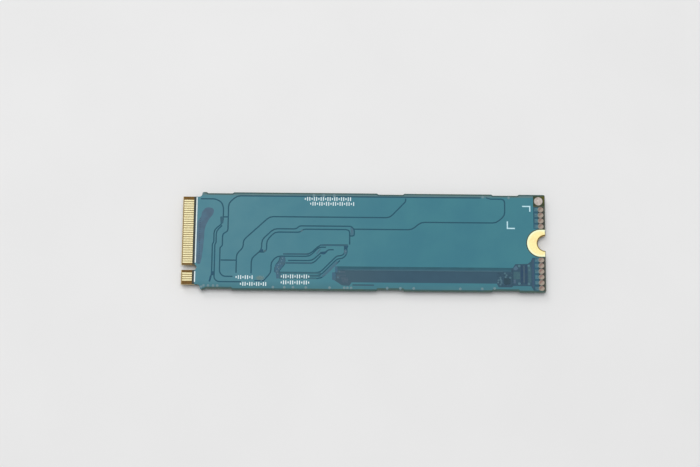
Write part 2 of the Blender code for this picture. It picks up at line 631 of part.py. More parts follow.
def make_power_columns():
    """Two columns of parts beside the tongue. Returns where the second one ends."""
    room = BOARD_WIDTH - 2 * CARD_EDGE_MARGIN
    x = SHOULDER_X + SHOULDER_MARGIN + LARGE_INDUCTOR[0] / 2
    near, converter, regulator, firmware, far = spread(
        [LARGE_INDUCTOR[1], POWER_CONVERTER["size"][1], VOLTAGE_REGULATOR["body"][1],
         FIRMWARE_MEMORY["size"][1], SURGE_DIODE["body"][1]], room)
    make_inductor("power_inductor_1", LARGE_INDUCTOR, x, near)
    make_leadless_package("power_converter", POWER_CONVERTER, x, converter)
    make_leaded_package("voltage_regulator", VOLTAGE_REGULATOR, x, regulator)
    make_leadless_package("firmware_memory", FIRMWARE_MEMORY, x, firmware)
    make_leaded_package("surge_diode", SURGE_DIODE, x, far)

    x += (LARGE_INDUCTOR[0] + CRYSTAL[0]) / 2 + COLUMN_SPACING
    bulk = BULK_CAPACITOR["size"][1]
    places = spread([SMALL_INDUCTOR[1], SMALL_INDUCTOR[1], LOAD_SWITCH["size"][1], bulk, bulk, bulk,
                     TEMPERATURE_SENSOR["size"][1], CRYSTAL[1]], room)
    inductor_places, capacitor_places = places[:2], places[3:6]
    for number, y in enumerate(inductor_places, 2):
        make_inductor(f"power_inductor_{number}", SMALL_INDUCTOR, x, y)
    make_leadless_package("load_switch", LOAD_SWITCH, x, places[2])
    for number, y in enumerate(capacitor_places, 1):
        make_chip_part(f"input_capacitor_{number}", BULK_CAPACITOR, "tan_ceramic", x, y)
    make_leadless_package("temperature_sensor", TEMPERATURE_SENSOR, x, places[6])
    make_crystal("clock_crystal", CRYSTAL, x, places[7])
    return x + CRYSTAL[0] / 2


def make_capacitor_lane(prefix, first, chip, x, width):
    """Capacitors across the card in the lane between two chips."""
    for number, y in enumerate(spread([chip["size"][0]] * CAPACITORS_IN_LANE, width), first):
        make_chip_part(f"{prefix}_{number}", chip, "tan_ceramic", x, y, across=True)


def make_signal_lane(x):
    """The coupling capacitors and the pull-up resistors in one column beside the controller."""
    small, resistor = SMALL_CAPACITOR["size"][1], SMALL_RESISTOR["size"][1]
    widths = [small] * COUPLING_CAPACITORS + [resistor] * PULL_UP_RESISTORS
    places = spread(widths, BOARD_WIDTH - 2 * CARD_EDGE_MARGIN)
    for number, y in enumerate(places[:COUPLING_CAPACITORS], 1):
        make_chip_part(f"coupling_capacitor_{number}", SMALL_CAPACITOR, "tan_ceramic", x, y)
    for number, y in enumerate(places[COUPLING_CAPACITORS:], 1):
        make_chip_part(f"pull_up_resistor_{number}", SMALL_RESISTOR, "black_ceramic", x, y)


def make_controller_rows(x):
    """A row of capacitors along each of the controller's long sides."""
    rows = (("output_capacitor", MEDIUM_CAPACITOR, 1), ("controller_capacitor", SMALL_CAPACITOR, -1))
    for prefix, chip, sign in rows:
        length, width, _ = chip["size"]
        y = sign * (CONTROLLER["width"] / 2 + CHIP_TO_ROW_SPACING + length / 2)
        for number, place in enumerate(spread([width] * CAPACITORS_IN_ROW, CONTROLLER["length"]), 1):
            make_chip_part(f"{prefix}_{number}", chip, "tan_ceramic", x + place, y, across=True)


def make_chip_row(left):
    """The large packages in one row up to the ground pad, with a lane of small parts before each."""
    right = SCREW_END_X - GROUND_PAD_SHANK - GROUND_PAD_OUTER_RADIUS - CHIP_TO_PAD_SPACING
    row = (("controller", CONTROLLER), ("cache_memory", CACHE_MEMORY),
           ("flash_memory_1", FLASH_MEMORY), ("flash_memory_2", FLASH_MEMORY))
    free = right - left - sum(package["length"] for _, package in row)
    lane = free / (WIDE_LANE + len(row) - 1)
    make_signal_lane(left + lane * WIDE_LANE / 2)
    x = left + lane * WIDE_LANE
    middles = []
    for name, package in row:
        middles.append(x + package["length"] / 2)
        make_ball_grid_package(name, package, middles[-1])
        x += package["length"] + lane
    make_controller_rows(middles[0])
    lanes = (("cache_capacitor", 1, SMALL_CAPACITOR), ("flash_capacitor", 1, MEDIUM_CAPACITOR),
             ("flash_capacitor", 1 + CAPACITORS_IN_LANE, MEDIUM_CAPACITOR))
    for (prefix, first, chip), middle, (_, package) in zip(lanes, middles[1:], row[1:]):
        before = middle - (package["length"] + lane) / 2
        make_capacitor_lane(prefix, first, chip, before, package["width"])


make_board()
make_ground_pads()
make_chip_row(make_power_columns())
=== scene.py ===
import math

import bmesh
import bpy
from mathutils import Matrix, Vector


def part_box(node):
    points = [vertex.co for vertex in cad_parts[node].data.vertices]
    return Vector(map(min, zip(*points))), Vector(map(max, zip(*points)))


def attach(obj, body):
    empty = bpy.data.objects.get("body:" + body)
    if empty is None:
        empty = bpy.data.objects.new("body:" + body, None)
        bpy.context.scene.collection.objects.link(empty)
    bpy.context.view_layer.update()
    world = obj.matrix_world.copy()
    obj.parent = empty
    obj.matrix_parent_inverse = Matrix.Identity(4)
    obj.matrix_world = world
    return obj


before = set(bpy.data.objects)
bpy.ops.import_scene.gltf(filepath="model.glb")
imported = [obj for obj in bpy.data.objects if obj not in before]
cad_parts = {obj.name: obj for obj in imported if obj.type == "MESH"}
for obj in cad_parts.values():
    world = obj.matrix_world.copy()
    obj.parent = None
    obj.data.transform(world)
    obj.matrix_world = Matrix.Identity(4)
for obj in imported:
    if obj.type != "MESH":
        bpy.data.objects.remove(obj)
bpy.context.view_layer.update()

mm = 0.001

# The card's own faces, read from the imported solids
boardLow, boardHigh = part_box("printed_circuit_board")
platingHeight = 0.035 * mm  # of the contacts, the test pads and the alignment mark
upperFace = boardHigh.z - platingHeight
lowerFace = boardLow.z + platingHeight
screwEnd = boardHigh.x / mm
tongueEnd = boardLow.x / mm
longEdge = boardHigh.y / mm
gapDepth = 0.04 * mm  # of the etched gaps and the sunk fields

# The row of test pads at the screw end, in mm, and how many lie on each side of the notch
testPads = {"x": 39.1, "first": 3.8, "pitch": 1.28, "counts": {1: 4, -1: 6}}


def addToScene(name, data):
    # a new object with this camera, mesh or lamp in it
    thing = bpy.data.objects.new(name, data)
    bpy.context.scene.collection.objects.link(thing)
    return thing


# Camera, as the photograph was taken: from the front, high above the card

photoCamera = {
    "target": (-3.0421, 1.8216, 2.15),  # mm, on the card's upper face
    "distance": 418.55,  # mm
    "azimuth": 0.2003,  # degrees
    "elevation": 75.797,
    "roll": 0.321,
    "focalPixels": 1899.5,  # for an image 700 pixels wide
    "imageWidth": 700,
    "sensorWidth": 36.0,
}


def makeCamera(look):
    a, e, r = (math.radians(look[k]) for k in ("azimuth", "elevation", "roll"))
    back = Vector((math.sin(a) * math.cos(e), -math.cos(a) * math.cos(e), math.sin(e)))
    level = Vector((math.cos(a), math.sin(a), 0.0))
    upright = back.cross(level)
    right = level * math.cos(r) + upright * math.sin(r)
    up = upright * math.cos(r) - level * math.sin(r)
    data = bpy.data.cameras.new("photoCamera")
    data.sensor_width = look["sensorWidth"]
    data.lens = look["sensorWidth"] * look["focalPixels"] / look["imageWidth"]
    data.clip_start, data.clip_end = 0.01, 20.0
    camera = addToScene("photoCamera", data)
    place = (Vector(look["target"]) + back * look["distance"]) * mm
    turned = Matrix((right, up, back)).transposed().to_4x4()
    camera.matrix_world = Matrix.Translation(place) @ turned
    bpy.context.scene.camera = camera


makeCamera(photoCamera)
print("camera set")


# Shader tools

def linear(hexCode):
    # sRGB hex to linear red, green, blue and alpha
    values = [int(hexCode[i:i + 2], 16) / 255 for i in (0, 2, 4)]
    return [v / 12.92 if v <= 0.04045 else ((v + 0.055) / 1.055) ** 2.4 for v in values] + [1.0]


def wire(node, inputs):
    # feeds a node's inputs with other nodes' outputs or with fixed values
    for place, source in inputs.items():
        if isinstance(source, bpy.types.NodeSocket):
            node.id_data.links.new(source, node.inputs[place])
        else:
            node.inputs[place].default_value = source


def addNode(tree, kind, inputs=None, out=0, **settings):
    # adds one node with its settings and inputs, and gives back one of its outputs
    node = tree.nodes.new("ShaderNode" + kind)
    for name, value in settings.items():
        setattr(node, name, value)
    wire(node, inputs or {})
    return node.outputs[out]


def startMaterial(name, centre=(0.0, 0.0, 0.0)):
    # an empty material, and object coordinates in millimetres from a centre
    material = bpy.data.materials.new(name)
    material.use_nodes = True
    tree = material.node_tree
    place = addNode(tree, "TexCoord", out="Object")
    shift = [-c / mm for c in centre]
    coords = addNode(tree, "Mapping", {"Vector": place, "Location": shift, "Scale": [1 / mm] * 3})
    return material, tree, coords


def finish(material, colour, roughness, metallic=0.0, bump=None, strength=0.2, depth=0.02, **more):
    # depth is the bump's real height in millimetres
    tree = material.node_tree
    shader = tree.nodes["Principled BSDF"]
    wire(shader, {"Base Color": colour, "Roughness": roughness, "Metallic": metallic})
    if bump:
        relief = addNode(tree, "Bump", {"Height": bump, "Strength": strength, "Distance": depth * mm})
        wire(shader, {"Normal": relief})
    for name, value in more.items():
        shader.inputs[name.replace("_", " ")].default_value = value
    return material


def painted(tree, base, layers):
    # paints colour after colour over the base, each where its mask is 1
    for mask, shade in layers:
        base = addNode(tree, "Mix", {0: mask, 6: base, 7: shade}, out=2, data_type="RGBA")
    return base


def stepped(tree, base, layers):
    # the same for a plain number
    for mask, value in layers:
        base = addNode(tree, "Mix", {0: mask, 2: base, 3: value}, data_type="FLOAT")
    return base


def product(tree, *masks):
    # masks and shares multiplied, so 0 wherever one mask is
    whole = masks[0]
    for mask in masks[1:]:
        whole = addNode(tree, "Math", {0: whole, 1: mask}, operation="MULTIPLY")
    return whole


def between(tree, value, low, high):
    # 1 where the value lies between two limits
    above = addNode(tree, "Math", {0: value, 1: low}, operation="GREATER_THAN")
    below = addNode(tree, "Math", {0: value, 1: high}, operation="LESS_THAN")
    return product(tree, above, below)


cloudSpan = {"From Min": 0.35, "From Max": 0.65}  # where nearly all of a noise's values lie


def mottled(tree, coords, first, second, size, detail=3.0):
    # two shades in soft patches of about one size in millimetres
    cloud = addNode(tree, "TexNoise", {"Vector": coords, "Scale": 1 / size, "Detail": detail})
    spread = addNode(tree, "MapRange", {0: cloud, **cloudSpan})
    return painted(tree, linear(first), [(spread, linear(second))]), cloud


# Finish of the card: two shades and the size of their patches in mm
cardShades = {
    "maskSheenLeft": ("4e808c", "477b89", 5.0),  # painted sheen: the mask lighter towards the tongue, standing in for a soft reflection on its gloss
    "maskRight": ("3d7985", "387382", 7.0),
    "maskLow": ("42757f", "3d6f7c", 5.0),  # towards the lower edge
    "maskEdge": ("5a787c", "537277", 3.0),  # along the upper edge, over bare laminate
    "etched": ("1e5063", "244e5e", 1.2),  # the same mask in the etched gaps
    "bus": ("325061", "304d5e", 2.5),  # mask over the data lines
    "busTop": ("2c5967", "28525f", 2.5),  # along their upper side
    "legs": ("2c5a6e", "264b5c", 0.8),  # beside the test pads
    "padStrip": ("35382f", "2c3230", 0.5),  # round the test pads
    "margin": ("565a50", "474b45", 0.5),  # at the card's screw end
    "gold": ("ebe4bb", "dccf9d", 0.25),
    "markTin": ("c9bfb9", "ab9e96", 0.4),  # solder on the alignment mark
    "tongue": ("77592a", "5c4520", 0.3),  # bare laminate between the contacts
    "tongueRim": ("343c38", "2d3634", 0.4),  # where the mask begins
    "wall": ("647f76", "4a6359", 0.4),  # the cut edge, all the way round: its own grey-green, painted lighter so that walls facing away from the lamps look lit
    # the tongue's cut laminate: its own tan, painted far lighter as painted light, so that walls facing
    # away from the lamps look lit
    "tongueWall": ("e6d2a2", "c6b07c", 0.3),
    # the screw notch's cut wall: brown, painted warmer and lighter as a painted reflection of warm light
    # off the gold round it
    "notchWall": ("c9a456", "ab8844", 0.3),
}

cardLook = {
    # each fade runs from its first place to its second, in mm
    "sheenFade": {"From Min": -38.0, "From Max": 18.0},  # along the card, from the painted sheen at the left to plain mask
    "lowFade": {"From Min": -9.0, "From Max": -10.3},  # across it
    "edgeFade": {"From Min": 10.2, "From Max": 10.45},
    "busLeft": "395462",
    "busLeftFade": {"From Min": 10.0, "From Max": -4.0},
    "opening": ("4c4b0f", "2a351c"),  # olive round the mark, deeper away from the card's corner
    "openingFade": {"From Min": 49.9, "From Max": 48.3},  # x and y together
    "padTin": ("a2968a", "8d766e"),  # solder of the test pads: painted highlight at each pad's lower right, painted shade at its upper left
    "padShadeFade": {"From Min": 0.15, "From Max": -0.35},  # painted shade, on a pad towards its upper left
    "rubbed": "617c7c",  # a worn spot between the printed rows
    "rubbedPlace": (-22.7, -8.4, 0.0),  # mm
    "rubbedScale": (0.85, 1.45, 0.0),  # 1 over half its length and width in mm
    "rubbedFade": {"From Min": 1.0, "From Max": 0.4},  # shares of that half
    "ply": "45462f",  # between the plies of glass cloth, where a cut edge shows them
    "plyShare": 0.4,
    "plyWave": {"Scale": 2.4, "Distortion": 0.5, "Detail": 1.0},  # plies 0.13 mm thick
    # threads 1.4 mm apart, since the cloth's own 0.5 mm is too fine to show
    "weaveWave": {"Scale": 0.32, "Distortion": 0.6, "Detail": 1.0},
    "weaveShare": 0.25,
    "maskRoughness": 0.4,
    "roughness": {"sunk": 0.46, "tongue": 0.6, "wall": 0.75, "plated": 0.34},
}

# Regions of the card: from and to in mm along x, y and z, or None where nothing limits them
face, under = upperFace / mm, lowerFace / mm
sunkSpan = (face - 0.045, face - 0.002)  # from just under the sunk floor to just under the face
wallSpan = (under + 0.003, face - 0.045)  # the cut edge, below the sunk floor
maskStart = tongueEnd + 2.42
cardRegions = {
    "bus": ((-7.4, 32.8), (-10.3, -6.2), None),
    "busTop": ((-7.4, 32.8), (-6.2, -5.6), None),
    "fanOut": ((32.6, 37.4), (-11.0, -3.0), None),
    "margin": ((39.7, 41.0), None, None),
    "sunk": (None, None, sunkSpan),
    "legs": ((37.35, 38.45), None, sunkSpan),
    "padStrip": ((38.45, 40.0), None, sunkSpan),
    "mark": ((37.3, 40.0), (8.4, 10.8), None),
    "tongueRim": ((maskStart, tongueEnd + 2.95), None, None),
    "tongue": ((tongueEnd - 1, maskStart), None, None),
    "wall": (None, None, wallSpan),
    "tongueWall": ((tongueEnd - 1, tongueEnd + 3), None, wallSpan),
    "notchWall": ((screwEnd - 2, screwEnd + 1), (-1.8, 1.8), wallSpan),
    "screwEnd": ((30.0, 41.0), None, None),  # where the plating carries solder
    "platedAbove": (None, None, (face + 0.004, face + 1)),
    "platedBelow": (None, None, (under - 1, under - 0.004)),
}


def findRegions(tree, axes):
    # one mask a region: 1 inside it, 0 outside
    masks = {}
    for name, spans in cardRegions.items():
        inside = [between(tree, axis, *span) for axis, span in zip(axes, spans) if span]
        masks[name] = product(tree, *inside)
    plated = {0: masks["platedAbove"], 1: masks["platedBelow"]}
    masks["plated"] = addNode(tree, "Math", plated, operation="ADD")
    return masks


def findRubbedSpot(tree, coords, look):
    fromSpot = addNode(tree, "VectorMath", {0: coords, 1: look["rubbedPlace"]}, operation="SUBTRACT")
    spot = addNode(tree, "VectorMath", {0: fromSpot, 1: look["rubbedScale"]}, operation="MULTIPLY")
    reach = addNode(tree, "VectorMath", {0: spot}, out=1, operation="LENGTH")
    return addNode(tree, "MapRange", {0: reach, **look["rubbedFade"]}, interpolation_type="SMOOTHSTEP")


def makePadTin(tree, x, y, look):
    # painted highlight and shade: every test pad is lighter at its lower right and darker at its upper
    # left, as if its solder were domed and lit
    half = testPads["pitch"] / 2
    outward = addNode(tree, "Math", {0: y}, operation="ABSOLUTE")
    outward = addNode(tree, "Math", {0: outward, 1: testPads["first"]}, operation="SUBTRACT")
    outward = addNode(tree, "Math", {0: outward, 1: half, 2: -half}, operation="WRAP")
    upward = product(tree, outward, addNode(tree, "Math", {0: y}, operation="SIGN"))
    rightward = addNode(tree, "Math", {0: x, 1: testPads["x"]}, operation="SUBTRACT")
    slope = addNode(tree, "Math", {0: rightward, 1: upward}, operation="SUBTRACT")
    shadedShare = addNode(tree, "MapRange", {0: slope, **look["padShadeFade"]}, interpolation_type="SMOOTHSTEP")
    padLit, padShaded = (linear(shade) for shade in look["padTin"])
    return painted(tree, padLit, [(shadedShare, padShaded)])


def makeOpening(tree, x, y, look):
    corner = addNode(tree, "Math", {0: x, 1: y}, operation="ADD")
    deep = addNode(tree, "MapRange", {0: corner, **look["openingFade"]})
    light, dark = (linear(shade) for shade in look["opening"])
    return painted(tree, light, [(deep, dark)])


def makeCardFinish(look):
    # glass-epoxy laminate under photo-imaged solder mask: a satin green-blue skin that is
    # darker wherever the copper under it was etched away, lighter at its left end with a painted sheen, and
    # bare gold on the tongue
    material, tree, coords = startMaterial("solderMaskOnLaminate")
    x, y, z = addNode(tree, "SeparateXYZ", {0: coords}).node.outputs
    made = {name: mottled(tree, coords, *values) for name, values in cardShades.items()}
    shade = {name: colour for name, (colour, _) in made.items()}
    cloud = {name: noise for name, (_, noise) in made.items()}
    region = findRegions(tree, (x, y, z))
    layer = {name: (region[name], shade[name]) for name in region if name in shade}

    busLeft = addNode(tree, "MapRange", {0: x, **look["busLeftFade"]}, interpolation_type="SMOOTHSTEP")
    bus = painted(tree, shade["bus"], [(busLeft, linear(look["busLeft"]))])
    overBus = [(region["bus"], bus), layer["busTop"], (region["fanOut"], bus)]
    etched = painted(tree, shade["etched"], overBus)
    # painted sheen: the lighter mask at the left fades out along the card
    sheenFadeOut = addNode(tree, "MapRange", {0: x, **look["sheenFade"]}, interpolation_type="SMOOTHSTEP")
    toLow = addNode(tree, "MapRange", {0: y, **look["lowFade"]})
    toEdge = addNode(tree, "MapRange", {0: y, **look["edgeFade"]})
    opening = product(tree, region["sunk"], region["mark"])
    padTin = makePadTin(tree, x, y, look)
    metal = painted(tree, shade["gold"], [(region["screwEnd"], padTin), (region["mark"], shade["markTin"])])
    colour = painted(tree, shade["maskSheenLeft"], [
        (sheenFadeOut, shade["maskRight"]), (toLow, shade["maskLow"]),
        (findRubbedSpot(tree, coords, look), linear(look["rubbed"])),
        (toEdge, shade["maskEdge"]), layer["margin"], (region["sunk"], etched), layer["legs"],
        layer["padStrip"], (opening, makeOpening(tree, x, y, look)), layer["tongueRim"],
        layer["tongue"], layer["wall"], layer["tongueWall"], layer["notchWall"],
        (region["plated"], metal)])

    plies = addNode(tree, "TexWave", {"Vector": coords, **look["plyWave"]}, out="Fac", bands_direction="Z")
    plies = product(tree, region["wall"], plies, look["plyShare"])
    colour = painted(tree, colour, [(plies, linear(look["ply"]))])
    # the weave of the glass cloth shows under mask and laminate alike
    weave = addNode(tree, "TexWave", {"Vector": coords, **look["weaveWave"]}, out="Fac",
                    bands_direction="DIAGONAL")
    relief = [(look["weaveShare"], weave), (region["plated"], cloud["gold"])]
    roughness = [(region[name], value) for name, value in look["roughness"].items()]
    return finish(material, colour, stepped(tree, look["maskRoughness"], roughness), region["plated"],
                  bump=stepped(tree, cloud["maskSheenLeft"], relief), strength=0.12, depth=0.03,
                  Specular_IOR_Level=0.3)


# Plain finishes: two shades and patch size in mm, then roughness, metallic and bump depth in mm
# where they differ from those of plain mask
plainFinishes = {
    "whiteMarkingInk": ("e2eef0", "cfe0e4", 0.5, 0.55),  # screened epoxy ink, chalky
    "thinMarkingInk": ("c4e5ee", "b4d8e2", 0.5, 0.5),  # the same ink, thinly laid
    "edgeMask": ("325356", "3f554d", 1.5),  # thin mask at the routed edge
    "maskOverLaminate": ("22506a", "1f4a5c", 1.0),  # mask with no copper under it
    "purpleMask": ("4a6a7e", "475f72", 1.6),  # mask over a deep inner opening
    "stripMask": ("38627a", "405f6e", 0.4),
    "wideGapMask": ("2d5a6c", "335868", 1.0),
    "bandMask": ("38646f", "35606d", 0.6),  # mask over close-set data lines
    "speckMask": ("6c8e9a", "5c7e8c", 0.3),
    "greyMask": ("406a7c", "486676", 0.5),  # mask over rough copper between two gaps
    "ridgeMask": ("375e6e", "325868", 2.0),
    "paleMask": ("4a6b79", "44646f", 0.8, 0.4),  # mask over thick copper
    "greenMask": ("3d6069", "375965", 0.6),
    "indigoMask": ("334e69", "385163", 0.5),
    "deepMask": ("24405a", "2c4658", 0.8),
    "blobMask": ("27424f", "223c49", 0.8),
    "plumMask": ("455a68", "3c5564", 0.4),
    "darkMask": ("2a4656", "304e60", 0.5),
    "legMask": ("4e7985", "426470", 0.4),
    "tentedVia": ("708b90", "648089", 0.3, 0.4),  # mask domed over a copper barrel
    "darkOpening": ("3a443a", "444a3a", 0.4, 0.5),
    "thinTin": ("909189", "80827c", 0.3, 0.4, 1.0),  # solder run out thin round a pad
    "brightTin": ("d9d6cf", "c3c1bb", 0.2, 0.26, 1.0),  # reflowed solder
    "notchWall": ("6e5526", "58431a", 0.4, 0.6, 0.0, 0.02),  # laminate torn by the router, its brown painted warmer as a painted reflection of the gold round it
}

wornShare = 0.8  # of a plain finish's roughness, where it is rubbed smooth


def makePlainFinish(name, first, second, size, roughness=0.42, metallic=0.0, depth=0.01):
    material, tree, coords = startMaterial(name)
    colour, cloud = mottled(tree, coords, first, second, size)
    worn = stepped(tree, roughness, [(cloud, roughness * wornShare)])
    return finish(material, colour, worn, metallic, bump=cloud, strength=0.3, depth=depth,
                  Specular_IOR_Level=0.3)


plain = {name: makePlainFinish(name, *values) for name, values in plainFinishes.items()}


# Finish of the ground pads: immersion gold over nickel, a pale satin yellow that washes out to
# white round the rim and is a little warmer in patches

groundPadFinish = {
    "gold": ("fcf1b3", "f8e8a6", 0.4),
    "patch": "fbe2a4",
    "patchSize": 1.3,  # mm
    "patchFade": {"From Min": 0.52, "From Max": 0.66},
    "shank": 1.0,  # mm, from the pad's centre to the card's end
    "rim": "f3f8d0",
    "rimFade": {"From Min": 2.4, "From Max": 3.0},  # mm from the pad's centre
    "torn": "a88b45",  # where the router thinned it, along the notch
    "tornFade": {"From Min": 2.02, "From Max": 1.9},  # mm from the notch's centre
    "roughness": 0.36,
}


def makeGroundPadFinish(look, node):
    low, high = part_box(node)
    centre = ((screwEnd - look["shank"]) * mm, 0.0, (low.z + high.z) / 2)
    material, tree, coords = startMaterial(f"immersionGold_{node}", centre)
    gold, grain = mottled(tree, coords, *look["gold"])
    cloud = addNode(tree, "TexNoise", {"Vector": coords, "Scale": 1 / look["patchSize"], "Detail": 1.0})
    patch = addNode(tree, "MapRange", {0: cloud, **look["patchFade"]})
    layers = [(patch, linear(look["patch"]))]
    notch = (look["shank"], 0.0, 0.0)
    fromNotch = addNode(tree, "VectorMath", {0: coords, 1: notch}, operation="SUBTRACT")
    for way, span, shade in ((coords, "rimFade", "rim"), (fromNotch, "tornFade", "torn")):
        reach = addNode(tree, "VectorMath", {0: way}, out=1, operation="LENGTH")
        mask = addNode(tree, "MapRange", {0: reach, **look[span]}, interpolation_type="SMOOTHSTEP")
        layers.append((mask, linear(look[shade])))
    colour = painted(tree, gold, layers)
    return finish(material, colour, look["roughness"], 1.0, bump=grain, strength=0.3, depth=0.012)


# Finishes of the parts on the chip side: two shades, patch size in mm, and detail where it is fine
partShades = {
    "mould": ("26282a", "1d1f21", 0.06, 6.0),  # filled epoxy, matt and faintly sparkling
    "substrate": ("3d4a2c", "2b3a26", 0.3),  # cut edge of the package's own small board
    "tin": ("d2cfc8", "b5b2ac", 0.12),
    "ferrite": ("55554f", "46464a", 0.1, 6.0),  # pressed iron powder, coarse and dull
    "ceramic": ("8f6a48", "7a5638", 0.15),  # fired barium titanate, a smooth tan
    "alumina": ("d8d6cf", "c9c7bf", 0.15),  # white resistor body
    "tray": ("6d6a62", "5a574f", 0.3),
    "lid": ("bdb49c", "a9a089", 0.2),  # nickel lid with a warm cast
}

# Body shade of each kind of part, and roughness of its body and of its metal
partKinds = {
    "ballGrid": ("mould", 0.55, 0.28),
    "moulded": ("mould", 0.5, 0.3),
    "inductor": ("ferrite", 0.68, 0.3),
    "crystal": ("tray", 0.6, 0.28),
    "resistor": ("alumina", 0.45, 0.3),
}
capacitorKind = ("ceramic", 0.45, 0.3)  # of all three sizes

# Where one finish of a part gives way to the next, in mm
partSteps = {
    "ballHeight": 0.251,  # from the card to the package's own board
    "packageBoard": 0.55,  # from the card to that board's far face
    "clip": 0.101,  # thickness of an inductor's end clips
    "tray": 0.452,  # from the card to the crystal's lid
    "glaze": 0.06,  # of black glass over a resistor
}
substrateRoughness = 0.7
glazeShade = "17181a"


def findMetal(tree, node, kind, half, axes):
    # 1 on a part's tinned metal, or on the crystal's lid
    if kind == "ballGrid":
        return between(tree, axes[2], half.z - partSteps["ballHeight"], 2 * half.z)
    if kind == "crystal":
        return between(tree, axes[2], -2 * half.z, half.z - partSteps["tray"])
    fromMiddle = [addNode(tree, "Math", {0: axis}, operation="ABSOLUTE") for axis in axes[:2]]
    if kind == "moulded":
        rims = zip(fromMiddle, half, packageLeads[node])
        overX, overY = (between(tree, axis, side - lead, 2 * side) for axis, side, lead in rims)
        return addNode(tree, "Math", {0: overX, 1: overY}, operation="MAXIMUM")
    # at both ends: an inductor's are along x, the others' along their longer side
    way = 0 if kind == "inductor" or half.x > half.y else 1
    cap = endCaps.get(kind, partSteps["clip"])
    return between(tree, fromMiddle[way], half[way] - cap, 2 * half[way])


def makePartFinish(node, kind):
    # one material for a whole part: its body, and the metal at its ends, edges or top
    low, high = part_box(node)
    half = (high - low) / 2 / mm
    material, tree, coords = startMaterial(f"{kind}_{node}", (low + high) / 2)
    axes = addNode(tree, "SeparateXYZ", {0: coords}).node.outputs
    bodyShade, bodyRoughness, metalRoughness = partKinds.get(kind, capacitorKind)
    body, speckle = mottled(tree, coords, *partShades[bodyShade])
    shine, frost = mottled(tree, coords, *partShades["tin"])
    layers = []
    if kind == "ballGrid":
        onBoard = between(tree, axes[2], half.z - partSteps["packageBoard"], 2 * half.z)
        substrate, _ = mottled(tree, coords, *partShades["substrate"])
        layers.append((onBoard, substrate, substrateRoughness))
    elif kind == "resistor":
        glazed = between(tree, axes[2], -2 * half.z, partSteps["glaze"] - half.z)
        layers.append((glazed, linear(glazeShade), bodyRoughness))
    elif kind == "crystal":
        shine, speckle = mottled(tree, coords, *partShades["lid"])
    metal = findMetal(tree, node, kind, half, axes)
    layers.append((metal, shine, metalRoughness))
    colour = painted(tree, body, [(mask, shade) for mask, shade, _ in layers])
    roughness = stepped(tree, bodyRoughness, [(mask, value) for mask, _, value in layers])
    relief = stepped(tree, speckle, [(metal, frost)])
    return finish(material, colour, roughness, metal, bump=relief, strength=0.25, depth=0.015)


# How far the tinned metal of each package reaches in from its box, along and across, in mm
packageLeads = {
    "power_converter": (0.035, 0.035),
    "firmware_memory": (0.035, 0.0),
    "load_switch": (0.035, 0.0),
    "temperature_sensor": (0.035, 0.0),
    "voltage_regulator": (0.6, 0.0),
    "surge_diode": (0.6, 0.0),
}
endCaps = {"large": 0.45, "medium": 0.35, "small": 0.25, "resistor": 0.2}


def kindOfPart(node):
    if node in ("controller", "cache_memory") or node.startswith("flash_memory"):
        return "ballGrid"
    if node in packageLeads:
        return "moulded"
    for word, kind in (("inductor", "inductor"), ("crystal", "crystal"), ("resistor", "resistor"),
                       ("input_capacitor", "large"), ("output_capacitor", "medium"),
                       ("flash_capacitor", "medium")):
        if word in node:
            return kind
    return "small"


def setFinish(piece, material):
    piece.data.materials.clear()
    piece.data.materials.append(material)


chipSide = [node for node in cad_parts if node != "printed_circuit_board" and "ground_pad" not in node]
for node in chipSide:
    setFinish(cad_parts[node], makePartFinish(node, kindOfPart(node)))
setFinish(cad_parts["printed_circuit_board"], makeCardFinish(cardLook))
for node in ("screw_ground_pad_upper", "screw_ground_pad_lower"):
    setFinish(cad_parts[node], makeGroundPadFinish(groundPadFinish, node))
print("finishes made for", len(chipSide) + 3, "packed parts")


# Modelling tools

def asMesh(name, bm):
    mesh = bpy.data.meshes.new(name)
    bm.to_mesh(mesh)
    bm.free()
    return mesh


def keep(name, bm, finishName, smooth=False):
    # turns a finished bmesh into a piece of the card
    bmesh.ops.recalc_face_normals(bm, faces=bm.faces)
    mesh = asMesh(name, bm)
    if smooth:
        mesh.shade_smooth()
    mesh.materials.append(plain[finishName])
    piece = addToScene(name, mesh)
    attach(piece, "root")


def joinTo(bm, part):
    # moves everything in a second bmesh over to the first
    mesh = asMesh("part", part)
    bm.from_mesh(mesh)
    bpy.data.meshes.remove(mesh)


def push(bm, grown, way):
    # moves the vertices that an extrusion has just made
    fresh = [item for item in grown["geom"] if isinstance(item, bmesh.types.BMVert)]
    bmesh.ops.translate(bm, vec=way, verts=fresh)


def addField(bm, points, corner, low, high):
    # a flat patch with rounded corners, as a thin skin between two heights
    part = bmesh.new()
    part.faces.new([part.verts.new((x * mm, y * mm, low)) for x, y in points])
    if corner:
        bmesh.ops.bevel(part, geom=part.verts[:], offset=corner * mm, affect="VERTICES", segments=3,
                        profile=0.5, material=-1, clamp_overlap=True)
    push(part, bmesh.ops.extrude_face_region(part, geom=part.faces[:]), (0.0, 0.0, high - low))
    joinTo(bm, part)


def addLines(bm, routes, width, low, high):
    # flat lines of one width along routes: upright walls, which a modifier makes as wide as the line
    part = bmesh.new()
    for route in routes:
        dots = [part.verts.new((x * mm, y * mm, low)) for x, y in route]
        for first, second in zip(dots, dots[1:]):
            part.edges.new((first, second))
    push(part, bmesh.ops.extrude_edge_only(part, edges=part.edges[:]), (0.0, 0.0, high - low))
    mesh = asMesh("walls", part)
    walls = addToScene("walls", mesh)
    thick = walls.modifiers.new("width", "SOLIDIFY")
    thick.thickness = width * mm
    thick.offset = 0.0
    thick.use_even_offset = True
    wide = bpy.data.meshes.new_from_object(walls.evaluated_get(bpy.context.evaluated_depsgraph_get()))
    bm.from_mesh(wide)
    bpy.data.objects.remove(walls)
    bpy.data.meshes.remove(mesh)
    bpy.data.meshes.remove(wide)


